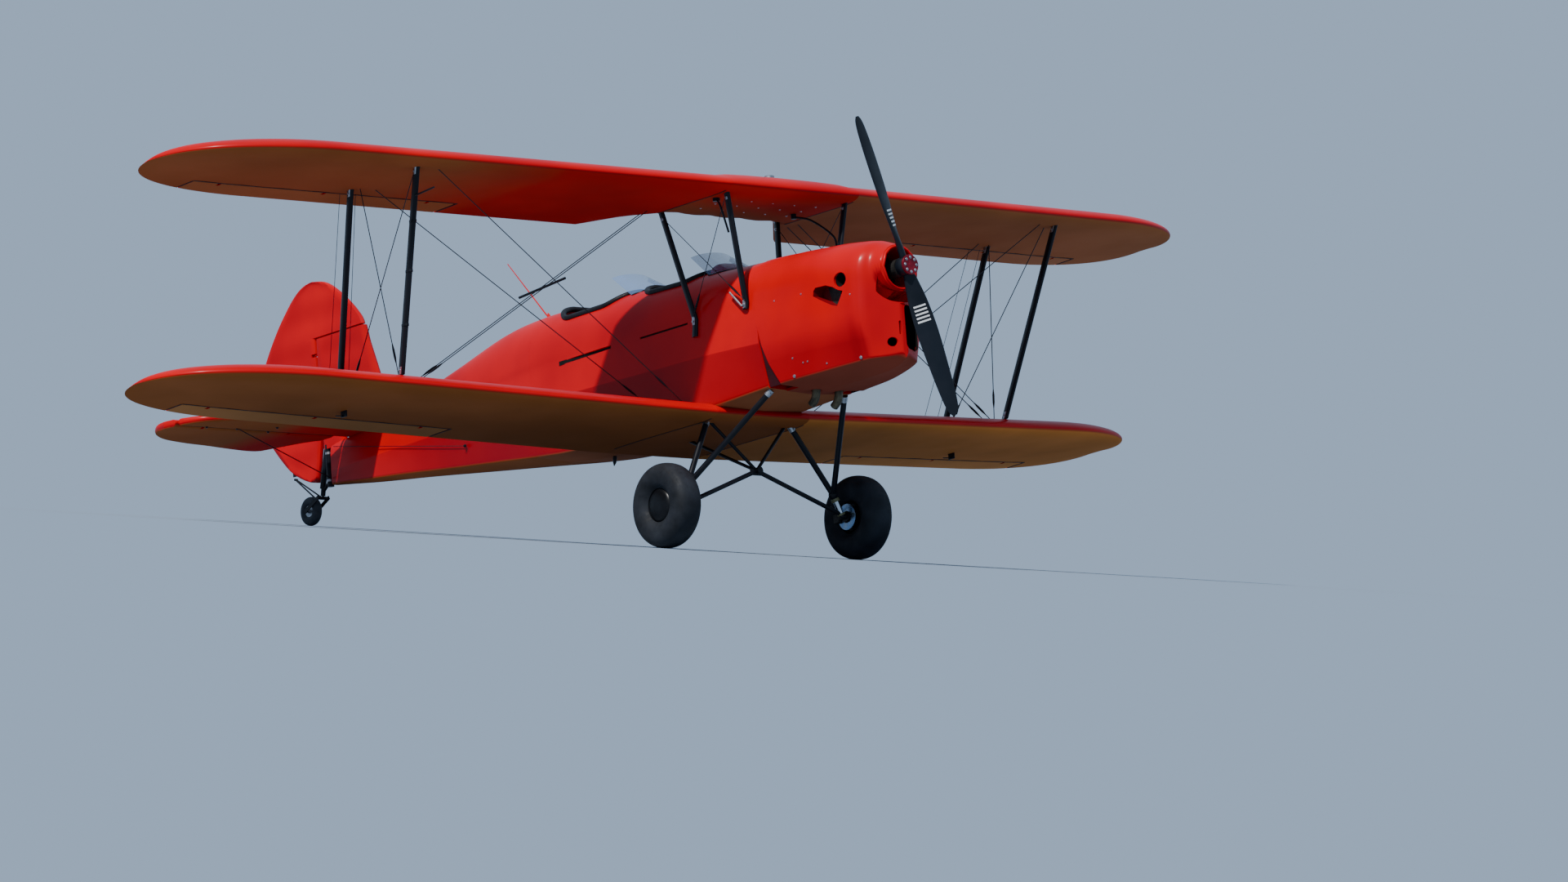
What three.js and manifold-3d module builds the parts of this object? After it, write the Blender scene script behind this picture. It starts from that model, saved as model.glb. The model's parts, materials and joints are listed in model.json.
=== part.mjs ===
// A single-engined, two-seat biplane with open cockpits and a tail wheel, parked on its gear.
// Millimetres. The pieces are drawn in the flying datum: nose to -Y, left wing to +X, up to +Z,
// with the front face of the propeller's hub plate at the origin and the thrust line level.
// The whole group is then pitched nose up until its three wheels stand on z = 0.

import * as THREE from 'three';
import { mergeVertices } from 'three/addons/utils/BufferGeometryUtils.js';
import Module from 'manifold-3d';

const wasm = await Module();
wasm.setup();

// Driving dimensions.
const SEAT_GAP = 0.3;             // left between pieces that touch
const WORKING_GAP = 6;            // left round pieces that move
const END_GAP = 9;                // and past the ends of an aileron
const CHORD = 1200;               // both wings
const SWEEP = 0.17;               // leading edge, aft for each unit outboard
const INCIDENCE = 0.04;           // chord line, down for each unit aft
const SECTION_CAMBER = 0.04;
const SECTION_THICKNESS = 0.12;
const TIP_LENGTH = 950;           // the rounded end of each wing
const CONTROL_CHORD = 240;        // ailerons
const CONTROL_NOSE = 30;          // radius of an aileron's round nose
const MAIN_WHEEL = { x: 801, y: 1641, z: -1300, radius: 275, width: 200 };
const TAIL_WHEEL = { x: 0, y: 6451, z: -420, radius: 100, width: 62 };
const FIREWALL_Y = 1105;
const TUB_END_Y = 3550;
const STERN_Y = 6205;
const SKIN = 28;                  // cockpit walls, frames and stringers together
const COWL_SKIN = 16;
const COWL_OVERRUN = 50;          // how far its hollow runs on past its rear edge
const PROPELLER_RADIUS = 1000;
const PROPELLER_LEAN = Math.atan2(-0.31, 0.95);
const HINGE = {
  pin: 6, bore: 7, sides: 8, pinLength: 60,
  plate: 8, plateHalf: 9,         // a bracket's thickness, and how far it reaches past the line
  slot: 22, slotHalf: 60, slotBehind: 22,
};
const RUDDER_AXIS_Y = 6278;
const ELEVATOR_AXIS = { y: 5966, z: 25 };
const STABILISER = { z: 0, thickness: 50, front: 5400, rear: 5936 };

// Shapes.
const vec = (x, y, z) => new THREE.Vector3(x, y, z);

function solid(geometry) {
  const bare = geometry.clone();
  bare.deleteAttribute('normal');
  bare.deleteAttribute('uv');
  const merged = mergeVertices(bare, 1e-3);
  return new wasm.Manifold(new wasm.Mesh({
    numProp: 3,
    vertProperties: new Float32Array(merged.attributes.position.array),
    triVerts: new Uint32Array(merged.index.array),
  }));
}

function geometryOf(manifold) {
  const mesh = manifold.getMesh();
  const geometry = new THREE.BufferGeometry();
  geometry.setAttribute('position', new THREE.BufferAttribute(new Float32Array(mesh.vertProperties), 3));
  geometry.setIndex(new THREE.BufferAttribute(new Uint32Array(mesh.triVerts), 1));
  return geometry;
}

const join = (first, ...others) => others.reduce((sum, other) => sum.add(other), first);
const cut = (first, ...others) => others.reduce((rest, other) => rest.subtract(other), first);
const shifted = (manifold, x, y, z) => manifold.translate([x, y, z]);
const mirrored = (manifold) => manifold.mirror([1, 0, 0]);

// Skins a row of equal rings and closes both ends with a fan round each ring's centre. A ring that
// runs up one side and down the other gets its creases in mirror image when it is symmetric.
function loft(rings, symmetric = false) {
  const count = rings[0].length;
  const positions = rings.flat().flatMap((point) => point.toArray());
  const triangles = [];
  for (let i = 0; i + 1 < rings.length; i += 1) {
    for (let j = 0; j < count; j += 1) {
      const a = i * count + j;
      const b = i * count + (j + 1) % count;
      if (symmetric && j >= count / 2) {
        triangles.push([a, b, a + count], [b, b + count, a + count]);
      } else {
        triangles.push([a, b, b + count], [a, b + count, a + count]);
      }
    }
  }
  for (const [start, inward] of [[0, true], [(rings.length - 1) * count, false]]) {
    const ring = rings[start / count];
    const centre = ring.reduce((sum, point) => sum.add(point), vec(0, 0, 0)).divideScalar(count);
    const middle = positions.length / 3;
    positions.push(...centre.toArray());
    for (let j = 0; j < count; j += 1) {
      const edge = [start + j, start + (j + 1) % count];
      triangles.push(inward ? [edge[1], edge[0], middle] : [edge[0], edge[1], middle]);
    }
  }
  const corner = (index) => vec(...positions.slice(3 * index, 3 * index + 3));
  const volume = triangles.reduce(
    (sum, [a, b, c]) => sum + corner(a).dot(corner(b).cross(corner(c))),
    0,
  );
  const outward = volume > 0 ? triangles : triangles.map(([a, b, c]) => [a, c, b]);
  const geometry = new THREE.BufferGeometry();
  geometry.setAttribute('position', new THREE.Float32BufferAttribute(positions, 3));
  geometry.setIndex(outward.flat());
  return solid(geometry);
}

function box(low, high) {
  const geometry = new THREE.BoxGeometry(high[0] - low[0], high[1] - low[1], high[2] - low[2]);
  geometry.translate((low[0] + high[0]) / 2, (low[1] + high[1]) / 2, (low[2] + high[2]) / 2);
  return solid(geometry);
}

function rod(from, to, radius, sides = 12, endRadius = radius) {
  const along = to.clone().sub(from);
  const geometry = new THREE.CylinderGeometry(endRadius, radius, along.length(), sides);
  const turn = new THREE.Quaternion().setFromUnitVectors(vec(0, 1, 0), along.clone().normalize());
  geometry.applyQuaternion(turn);
  const middle = from.clone().add(to).multiplyScalar(0.5);
  geometry.translate(middle.x, middle.y, middle.z);
  return solid(geometry);
}

function pipe(points, radius, sides = 8, steps = 10) {
  const outline = new THREE.Shape();
  outline.absarc(0, 0, radius, 0, 2 * Math.PI, false);
  const path = new THREE.CatmullRomCurve3(points);
  const settings = { extrudePath: path, steps, curveSegments: sides / 2 };
  return solid(new THREE.ExtrudeGeometry(outline, settings));
}

// A plate with bevelled rims, from an outline drawn flat and then stood up or laid down.
function plate(outline, thickness, bevel, matrix) {
  const shape = new THREE.Shape(outline.map(([a, b]) => new THREE.Vector2(a, b)));
  const geometry = new THREE.ExtrudeGeometry(shape, {
    depth: thickness - 2 * bevel,
    bevelThickness: bevel,
    bevelSize: bevel,
    bevelOffset: -bevel,
    bevelSegments: 1,
  });
  geometry.translate(0, 0, bevel - thickness / 2);
  geometry.applyMatrix4(matrix);
  return solid(geometry);
}

// Stands a (y, z) outline in the plane of symmetry.
const UPRIGHT = new THREE.Matrix4().makeBasis(vec(0, 1, 0), vec(0, 0, 1), vec(1, 0, 0));
const flatAt = (z) => new THREE.Matrix4().makeTranslation(0, 0, z);

// A block round a point of a hinge line: thin along the line, and so far ahead, behind and beside it.
function hingeBlock(middle, line, thin, ahead, behind, beside) {
  const [x, z] = line === 'x' ? [thin / 2, beside] : [beside, thin / 2];
  return box(
    [middle.x - x, middle.y - ahead, middle.z - z],
    [middle.x + x, middle.y + behind, middle.z + z],
  );
}

const bracket = (middle, line, ahead) => (
  hingeBlock(middle, line, HINGE.plate, ahead, HINGE.plateHalf, HINGE.plateHalf)
);
const slot = (middle, line) => (
  hingeBlock(middle, line, HINGE.slot, HINGE.slotHalf, HINGE.slotBehind, HINGE.slotHalf)
);

// A strut of streamlined section, its chord along Y.
function strut(points, chord, thickness, sides = 12) {
  const turn = (index) => (2 * Math.PI * index) / sides;
  return loft(points.map((point) => Array.from({ length: sides }, (_, i) => vec(
    point.x + 0.5 * thickness * Math.cos(turn(i)),
    point.y + 0.5 * chord * Math.sin(turn(i)),
    point.z,
  ))));
}

// Wings.

// Heights of the section's two faces over the chord line, at u along the chord, both per unit chord.
function sectionFaces(u) {
  const thickness = 5 * SECTION_THICKNESS * (0.2969 * Math.sqrt(u) - 0.126 * u - 0.3516 * u ** 2
    + 0.2843 * u ** 3 - 0.1015 * u ** 4);
  const camber = u < 0.4
    ? (SECTION_CAMBER / 0.16) * (0.8 * u - u * u)
    : (SECTION_CAMBER / 0.36) * (0.2 + 0.8 * u - u * u);
  return [camber + thickness, camber - thickness];
}

const SECTION_STEPS = 8;

function sectionRing(x, leadingY, chord, leadingZ, fatness = 1) {
  const place = (u, height) => vec(
    x,
    leadingY + u * chord,
    leadingZ - INCIDENCE * u * chord + height * fatness * chord,
  );
  const ring = [];
  for (let i = 0; i <= SECTION_STEPS; i += 1) {
    const u = (1 - Math.cos((Math.PI * i) / SECTION_STEPS)) / 2;
    ring.push(place(u, sectionFaces(u)[0]));
  }
  for (let i = SECTION_STEPS; i > 0; i -= 1) {
    const u = (1 - Math.cos((Math.PI * i) / SECTION_STEPS)) / 2;
    ring.push(place(u, sectionFaces(u)[1]));
  }
  return ring;
}

// Each wing: where its swept panel starts and ends, and its leading edge there.
const WINGS = {
  upper: { root: 530, tip: 4190, leadingY: 1055, leadingZ: 717, dihedral: 0.042 },
  lower: { root: 382, tip: 4044, leadingY: 1554, leadingZ: -675, dihedral: 0.06 },
};

const leadingEdge = (wing, x) => ({
  y: wing.leadingY + SWEEP * (x - wing.root),
  z: wing.leadingZ + wing.dihedral * (x - wing.root),
});

const TIP_STEPS = 6;
const TIP_CENTRE = 0.56;          // where along the chord the rounded tip ends
const TIP_TURN = 0.97 * (Math.PI / 2);
const TIP_FULLNESS = 0.8;         // below 1 for a squarer tip
const TIP_LIFT = 0.02;            // up for each unit of chord lost

function wingPanel(wing) {
  const tipStart = wing.tip - TIP_LENGTH;
  const stations = [wing.root, (wing.root + tipStart) / 2, tipStart];
  const rings = stations.map((x) => (
    sectionRing(x, leadingEdge(wing, x).y, CHORD, leadingEdge(wing, x).z)
  ));
  for (let i = 1; i <= TIP_STEPS; i += 1) {
    const angle = (i / TIP_STEPS) * TIP_TURN;
    const x = tipStart + TIP_LENGTH * Math.sin(angle);
    const chord = CHORD * Math.cos(angle) ** TIP_FULLNESS;
    const full = leadingEdge(wing, x);
    const back = TIP_CENTRE * (CHORD - chord);
    const leadingZ = full.z - INCIDENCE * back + TIP_LIFT * (CHORD - chord);
    rings.push(sectionRing(x, full.y + back, chord, leadingZ));
  }
  return loft(rings);
}

// The point on a wing at x and u along the chord, at the height of one face or between the two.
function onWing(wing, x, u, face) {
  const edge = leadingEdge(wing, x);
  const faces = sectionFaces(u);
  const height = { top: faces[0], bottom: faces[1], middle: (faces[0] + faces[1]) / 2 }[face];
  return vec(x, edge.y + u * CHORD, edge.z - INCIDENCE * u * CHORD + height * CHORD);
}

const upperPanel = wingPanel(WINGS.upper);
const lowerPanel = wingPanel(WINGS.lower);

// An aileron hangs on pins along its hinge line, in a bay cut out of the panel's trailing edge.
const HINGE_U = 1 - (CONTROL_CHORD - CONTROL_NOSE) / CHORD;
const AILERON_SPANS = { upper: [1870, 3700], lower: [1667, 3541] };
const AILERON_HINGES = [0.1, 0.5, 0.9];
const AILERON_BRACKET = 70;       // ahead of the hinge line, into the panel
const BAY = { height: 400, reach: 700 };

function hingeParts(start, end, places) {
  const along = end.clone().sub(start);
  const unit = along.clone().normalize();
  return places.map((place) => {
    const middle = start.clone().addScaledVector(along, place);
    const half = unit.clone().multiplyScalar(HINGE.pinLength / 2);
    const ends = [middle.clone().sub(half), middle.clone().add(half)];
    return {
      middle,
      pin: rod(ends[0], ends[1], HINGE.pin, HINGE.sides),
      bore: rod(
        ends[0].clone().addScaledVector(unit, -SEAT_GAP),
        ends[1].clone().addScaledVector(unit, SEAT_GAP),
        HINGE.bore,
        HINGE.sides,
      ),
    };
  });
}

function withAileron(panel, wing, [inner, outer]) {
  const start = onWing(wing, inner, HINGE_U, 'middle');
  const end = onWing(wing, outer, HINGE_U, 'middle');
  const slope = (end.y - start.y) / (end.x - start.x);
  const prism = (x0, x1, front) => loft([-BAY.height, BAY.height].map((dz) => [
    vec(x0, start.y + slope * (x0 - start.x) - front, start.z + dz),
    vec(x1, start.y + slope * (x1 - start.x) - front, start.z + dz),
    vec(x1, start.y + slope * (x1 - start.x) + BAY.reach, start.z + dz),
    vec(x0, start.y + slope * (x0 - start.x) + BAY.reach, start.z + dz),
  ]));
  const bay = prism(inner - END_GAP, outer + END_GAP, CONTROL_NOSE + WORKING_GAP);
  const hinges = hingeParts(start, end, AILERON_HINGES);
  const nose = rod(start, end, CONTROL_NOSE, 12);
  const behind = prism(inner, outer, 0);
  const inside = panel.intersect(prism(inner, outer, CONTROL_NOSE));
  let aileron = join(inside.intersect(behind), inside.intersect(nose));
  let fixed = cut(panel, bay);
  for (const { middle, pin, bore } of hinges) {
    aileron = cut(aileron, slot(middle, 'x'), bore);
    fixed = join(fixed, bracket(middle, 'x', AILERON_BRACKET), pin);
  }
  return { fixed, aileron, start, end };
}

const upperLeft = withAileron(upperPanel, WINGS.upper, AILERON_SPANS.upper);
const lowerLeft = withAileron(lowerPanel, WINGS.lower, AILERON_SPANS.lower);

// The upper centre section holds the tank, and its trailing edge is cut out over the cockpit.
const CUTOUT = { innerHalfWidth: 500, y: 1905, flare: 578, depth: 700, low: 400, high: 1200 };

// Stations across the centre section, as shares of its half width, and how much the tank fattens it.
const TANK = [[0, 1.22], [0.84, 1.16], [1, 1]];

function centreSection() {
  const edge = WINGS.upper;
  const half = edge.root - SEAT_GAP;
  const left = loft(TANK.map(([share, fatness]) => (
    sectionRing(share * half, edge.leadingY, CHORD, edge.leadingZ, fatness)
  )));
  return join(left, mirrored(left));
}

const cutout = loft([CUTOUT.low, CUTOUT.high].map((z) => [
  vec(-CUTOUT.innerHalfWidth, CUTOUT.y, z),
  vec(CUTOUT.innerHalfWidth, CUTOUT.y, z),
  vec(CUTOUT.innerHalfWidth + CUTOUT.flare, CUTOUT.y + CUTOUT.depth, z),
  vec(-CUTOUT.innerHalfWidth - CUTOUT.flare, CUTOUT.y + CUTOUT.depth, z),
]));

const upperCentre = cut(centreSection(), cutout);
const upperWing = cut(upperLeft.fixed, cutout);

// Fuselage.

// Each frame: its place, then half width and height of the lower edge, of the crease along the side
// and of the upper side, then the height of the top. The lean tilts a frame aft with its height.
const frameRows = (rows) => rows.map(([y, lowW, lowZ, creaseW, creaseZ, upW, upZ, topZ, lean = 0]) => ({
  y, lowW, lowZ, creaseW, creaseZ, upW, upZ, topZ, lean,
}));

const TOP_STEPS = 5;
const TOP_FULLNESS = 0.75;        // below 1 for a squarer top
const BELLY_DROP = 0.05;          // how far the belly hangs below its edges, per unit half width
const LEAN_CENTRE_Z = -347;

function frameRing(frame, inset = 0) {
  const half = [
    [0, frame.lowZ - BELLY_DROP * frame.lowW + inset],
    [frame.lowW - inset, frame.lowZ + inset],
    [frame.creaseW - inset, frame.creaseZ],
    [frame.upW - inset, frame.upZ],
  ];
  for (let i = 1; i <= TOP_STEPS; i += 1) {
    const angle = (i / TOP_STEPS) * (Math.PI / 2);
    const x = i === TOP_STEPS ? 0 : (frame.upW - inset) * Math.cos(angle) ** TOP_FULLNESS;
    half.push([x, frame.upZ + (frame.topZ - inset - frame.upZ) * Math.sin(angle) ** TOP_FULLNESS]);
  }
  const other = half.slice(1, -1).reverse().map(([x, z]) => [-x, z]);
  return [...half, ...other].map(([x, z]) => vec(x, frame.y + frame.lean * (z - LEAN_CENTRE_Z), z));
}

const JOINT_LEAN = 0.1165;
const FUSELAGE_FRAMES = frameRows([
  [FIREWALL_Y, 350, -613, 378, -316, 353, -60, 270, JOINT_LEAN],
  [1552, 357, -633, 380, -295, 362, -42, 288],
  [1900, 357, -640, 380, -287, 362, -40, 318],
  [2300, 352, -645, 380, -281, 362, -40, 330],
  [2750, 342, -650, 372, -270, 355, -38, 345],
  [3160, 325, -640, 352, -258, 338, -38, 362],
  [TUB_END_Y, 297, -603, 326, -246, 312, -38, 373],
  [4000, 246, -548, 276, -233, 262, -45, 345],
  [4600, 187, -476, 203, -216, 190, -60, 226],
  [5200, 137, -402, 143, -206, 134, -90, 110],
  [5700, 96, -346, 96, -200, 88, -110, 30],
  [6000, 62, -308, 62, -200, 56, -130, 5],
  [STERN_Y, 30, -284, 30, -190, 28, -140, -10],
]);

const tubFrames = FUSELAGE_FRAMES.filter((frame) => frame.y <= TUB_END_Y);
const tailFrames = FUSELAGE_FRAMES.filter((frame) => frame.y >= TUB_END_Y);
const tubOuter = loft(tubFrames.map((frame) => frameRing(frame)), true);
const tailOuter = loft(tailFrames.map((frame) => frameRing(frame)), true);

const BULKHEAD = 45;
function tubInner(inset = SKIN) {
  const rings = tubFrames.map((frame) => frameRing(frame, inset));
  const first = rings[0].map((point) => point.clone().add(vec(0, BULKHEAD, 0)));
  const last = rings[rings.length - 1].map((point) => point.clone().add(vec(0, -BULKHEAD, 0)));
  return loft([first, ...rings.slice(1, -1), last], true);
}

// Each cockpit: its opening's ends and half width, and its rounded corners.
const COCKPITS = {
  front: { from: 1810, to: 2430, halfWidth: 268, corner: 170 },
  rear: { from: 2610, to: 3330, halfWidth: 268, corner: 190 },
};

const OPENING_TOP = 700;

function cockpitOpening({ from, to, halfWidth, corner }) {
  const shape = new THREE.Shape();
  shape.moveTo(-halfWidth + corner, from);
  shape.absarc(halfWidth - corner, from + corner, corner, -Math.PI / 2, 0, false);
  shape.absarc(halfWidth - corner, to - corner, corner, 0, Math.PI / 2, false);
  shape.absarc(-halfWidth + corner, to - corner, corner, Math.PI / 2, Math.PI, false);
  shape.absarc(-halfWidth + corner, from + corner, corner, Math.PI, 1.5 * Math.PI, false);
  const settings = { depth: OPENING_TOP, bevelEnabled: false, curveSegments: 3 };
  return solid(new THREE.ExtrudeGeometry(shape, settings));
}

const fuselageForward = cut(
  tubOuter,
  tubInner(),
  cockpitOpening(COCKPITS.front),
  cockpitOpening(COCKPITS.rear),
);

// The stabiliser lies in a flat cut into the tail's top.
const TAIL_SEAT = { halfWidth: 400, from: 5395, to: 7000, top: 600 };
const tailSeat = box(
  [-TAIL_SEAT.halfWidth, TAIL_SEAT.from, STABILISER.z - SEAT_GAP],
  [TAIL_SEAT.halfWidth, TAIL_SEAT.to, TAIL_SEAT.top],
);
const fuselageAft = cut(shifted(tailOuter, 0, SEAT_GAP, 0), tailSeat);

// The wing's section carried through under the belly.
const bellyRing = (x) => sectionRing(x, WINGS.lower.leadingY, CHORD, WINGS.lower.leadingZ);
const bellyHalf = WINGS.lower.root - SEAT_GAP;
const bellyFairing = cut(
  loft([bellyRing(-bellyHalf), bellyRing(bellyHalf)]),
  shifted(tubOuter, 0, 0, -SEAT_GAP),
  shifted(tubOuter, SEAT_GAP, 0, 0),
  shifted(tubOuter, -SEAT_GAP, 0, 0),
);

// Engine and cowl.
const COWL_FRAMES = frameRows([
  [112, 120, -560, 128, -330, 118, -140, 60],
  [150, 205, -600, 222, -327, 202, -115, 122],
  [215, 262, -612, 285, -324, 262, -90, 168],
  [345, 308, -615, 333, -320, 310, -70, 213],
  [600, 334, -615, 361, -317, 337, -62, 240],
  [FIREWALL_Y, 352, -614, 380, -315, 355, -60, 272, JOINT_LEAN],
]);

const SNOUT = {
  frontY: 100, frontRadius: 148, backY: 330, backRadius: 214, bore: 124, boreFrom: 90, boreTo: 430,
};
const INTAKE = { low: [10, 60, -520], high: [150, 260, -290] };
const SIDE_HOLE = { outerX: -500, innerX: -200, y: 336, z: -48, radius: 52 };
const OIL_HOLE = { x: -200, z: -517, frontY: 0, backY: 300, radius: 30 };
const EXHAUSTS = [{ x: -50, y: 960 }, { x: 150, y: 975 }];
const EXHAUST_RADIUS = 22;
const OUTLET = { clearance: 12, bottom: -800, top: -500 };

// An exhaust stub's route: how far aft of its outlet, and its height.
const EXHAUST_ROUTE = [[-60, -320], [-50, -440], [0, -560], [0, -640], [12, -690]];

function engineCowl() {
  const outer = loft(COWL_FRAMES.map((frame) => frameRing(frame)), true);
  const innerRings = COWL_FRAMES.map((frame) => frameRing(frame, COWL_SKIN));
  innerRings[0] = innerRings[0].map((point) => point.clone().add(vec(0, COWL_SKIN, 0)));
  const [before, last] = innerRings.slice(-2);
  innerRings[innerRings.length - 1] = last.map((point, i) => beyond(before[i], point, COWL_OVERRUN));
  const axisAt = (y) => vec(0, y, 0);
  const snout = rod(axisAt(SNOUT.frontY), axisAt(SNOUT.backY), SNOUT.frontRadius, 24, SNOUT.backRadius);
  const throat = rod(axisAt(SNOUT.boreFrom), axisAt(SNOUT.boreTo), SNOUT.bore, 24);
  const side = rod(
    vec(SIDE_HOLE.outerX, SIDE_HOLE.y, SIDE_HOLE.z),
    vec(SIDE_HOLE.innerX, SIDE_HOLE.y, SIDE_HOLE.z),
    SIDE_HOLE.radius,
    20,
  );
  const oil = rod(
    vec(OIL_HOLE.x, OIL_HOLE.frontY, OIL_HOLE.z),
    vec(OIL_HOLE.x, OIL_HOLE.backY, OIL_HOLE.z),
    OIL_HOLE.radius,
    16,
  );
  const outlets = EXHAUSTS.map(({ x, y }) => (
    rod(vec(x, y, OUTLET.bottom), vec(x, y, OUTLET.top), EXHAUST_RADIUS + OUTLET.clearance, 16)
  ));
  const intake = box(INTAKE.low, INTAKE.high);
  return cut(join(outer, snout), loft(innerRings, true), throat, side, oil, intake, ...outlets);
}

const ENGINE = { low: [-230, 430, -330], high: [230, 985, 110] };
const SHAFT = { housing: 58, spigot: 30, bore: 30.9, frontY: 96, rearY: 430, spigotEnd: 190 };
const MOUNT_CORNERS = [[-190, -280], [190, -280], [-190, 60], [190, 60]];
const MOUNT = { radius: 16, reach: 90 };    // the reach is trimmed at the firewall
const SUNK = 5;                   // how far one body of a solid runs into the next

function engineBlock() {
  let engine = box(ENGINE.low, ENGINE.high);
  engine = join(engine, rod(vec(0, SHAFT.frontY, 0), vec(0, SHAFT.rearY + SUNK, 0), SHAFT.housing, 24));
  for (const [x, z] of MOUNT_CORNERS) {
    const from = vec(x, ENGINE.high[1] - 4 * SUNK, z);
    engine = join(engine, rod(from, vec(x, FIREWALL_Y + MOUNT.reach, z), MOUNT.radius));
  }
  for (const { x, y } of EXHAUSTS) {
    engine = join(engine, pipe(EXHAUST_ROUTE.map(([aft, z]) => vec(x, y + aft, z)), EXHAUST_RADIUS));
  }
  const bore = rod(vec(0, SHAFT.frontY - SUNK, 0), vec(0, SHAFT.spigotEnd + SUNK, 0), SHAFT.bore, 24);
  return cut(engine, bore, shifted(tubOuter, 0, -SEAT_GAP, 0));
}

// Propeller: two blades on one hub, its stub shaft running in the engine's housing.
const HUB = { radius: 62, frontY: 14 + SEAT_GAP, rearY: 84 };
const HUB_PLATE = { radius: 65, thickness: 14 };

// Blade stations: radius, chord, thickness and pitch in degrees.
const BLADE_ROWS = [
  [40, 70, 46, 50],
  [130, 96, 40, 44],
  [260, 128, 28, 34],
  [450, 146, 19, 25],
  [700, 132, 13, 18],
  [880, 108, 10, 15],
  [965, 78, 8, 14],
  [PROPELLER_RADIUS, 34, 6, 14],
];
const BLADE_Y = 47;
const BLADE_SIDES = 12;

function blade() {
  return loft(BLADE_ROWS.map(([radius, chord, thickness, pitch]) => {
    const twist = THREE.MathUtils.degToRad(pitch);
    return Array.from({ length: BLADE_SIDES }, (_, i) => {
      const angle = (2 * Math.PI * i) / BLADE_SIDES;
      const across = 0.5 * chord * Math.cos(angle);
      const deep = 0.5 * thickness * Math.sin(angle);
      return vec(
        across * Math.cos(twist) - deep * Math.sin(twist),
        BLADE_Y + across * Math.sin(twist) + deep * Math.cos(twist),
        radius,
      );
    });
  }));
}

function propeller() {
  const one = blade();
  const lean = [0, THREE.MathUtils.radToDeg(PROPELLER_LEAN), 0];
  const both = join(one, one.rotate([0, 180, 0])).rotate(lean);
  const hub = rod(vec(0, HUB.frontY, 0), vec(0, HUB.rearY, 0), HUB.radius, 24);
  const spigot = rod(vec(0, HUB.rearY - SUNK, 0), vec(0, SHAFT.spigotEnd, 0), SHAFT.spigot, 24);
  return join(both, hub, spigot);
}

const hubPlate = rod(vec(0, 0, 0), vec(0, HUB_PLATE.thickness, 0), HUB_PLATE.radius, 24);

// Struts. Each row: name, foot and top, chord and thickness.
const CABANES = [
  { name: 'cabane_front', feet: [vec(372, 1222, -70), vec(366, 1217, -30)], top: vec(503, 1166, 720) },
  { name: 'cabane_rear', feet: [vec(378, 1740, -150), vec(369, 1733, -40)], top: vec(492, 1858, 720) },
];
const CABANE_SECTION = [52, 26];
const STRUT_SECTION = [62, 27];
const STRUT_STATION = { upper: 2690, lower: 2530 };
const STRUTS = [
  { name: 'front', upperU: 0.112, lowerU: 0.15 },
  { name: 'rear', upperU: 0.697, lowerU: 0.7 },
];

const upperSeat = shifted(upperPanel, 0, 0, -SEAT_GAP);
const lowerSeat = shifted(lowerPanel, 0, 0, SEAT_GAP);
const centreSeat = shifted(centreSection(), 0, 0, -SEAT_GAP);
const tubSide = shifted(tubOuter, SEAT_GAP, 0, 0);

function strutEnds({ upperU, lowerU }) {
  return [
    onWing(WINGS.lower, STRUT_STATION.lower, lowerU, 'middle'),
    onWing(WINGS.upper, STRUT_STATION.upper, upperU, 'middle'),
  ];
}

const interplaneStruts = STRUTS.map((row) => ({
  name: `interplane_strut_${row.name}`,
  body: cut(strut(strutEnds(row), ...STRUT_SECTION), upperSeat, lowerSeat),
}));
const cabaneStruts = CABANES.map(({ name, feet, top }) => ({
  name,
  body: cut(strut([...feet, top], ...CABANE_SECTION), upperSeat, centreSeat, tubSide),
}));

// Main stays.
const WIRE_RADIUS = 3;
const SPREADER = { place: 0.54, reach: 2.6, radius: 9 };
const LANDING = { inboard: 70, footU: 0.15, apart: 28, topX: 560, topUs: [0.62, 0.7] };
const FLYING = { footX: 470, inboard: 70 };
const STAGGER = { inboard: 34, inset: 40 };
const between = (a, b, t) => a.clone().lerp(b, t);

function landingWires() {
  const foot = onWing(WINGS.lower, STRUT_STATION.lower - LANDING.inboard, LANDING.footU, 'middle');
  const tops = LANDING.topUs.map((u) => onWing(WINGS.upper, LANDING.topX, u, 'middle'));
  const feet = [-LANDING.apart, LANDING.apart].map((y) => foot.clone().add(vec(0, y, 0)));
  const wires = tops.map((top, i) => rod(feet[i], top, WIRE_RADIUS, 6));
  const [a, b] = tops.map((top, i) => between(feet[i], top, SPREADER.place));
  const reach = b.clone().sub(a).multiplyScalar(SPREADER.reach);
  const stick = rod(a.clone().sub(reach), b.clone().add(reach), SPREADER.radius, 8);
  return cut(join(wires[0], wires[1], stick), upperSeat, lowerSeat);
}

function flyingWire(lowerU, upperU) {
  const foot = onWing(WINGS.lower, FLYING.footX, lowerU, 'middle');
  const top = onWing(WINGS.upper, STRUT_STATION.upper - FLYING.inboard, upperU, 'middle');
  return cut(rod(foot, top, WIRE_RADIUS, 6), upperSeat, lowerSeat);
}

function staggerWires() {
  const [front, rear] = STRUTS.map(strutEnds);
  const inboard = (point, hand) => point.clone().add(vec(-STAGGER.inboard, hand * STAGGER.inset, 0));
  return cut(
    join(
      rod(inboard(front[0], 1), inboard(rear[1], -1), WIRE_RADIUS, 6),
      rod(inboard(rear[0], -1), inboard(front[1], 1), WIRE_RADIUS, 6),
    ),
    upperSeat,
    lowerSeat,
  );
}

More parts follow.
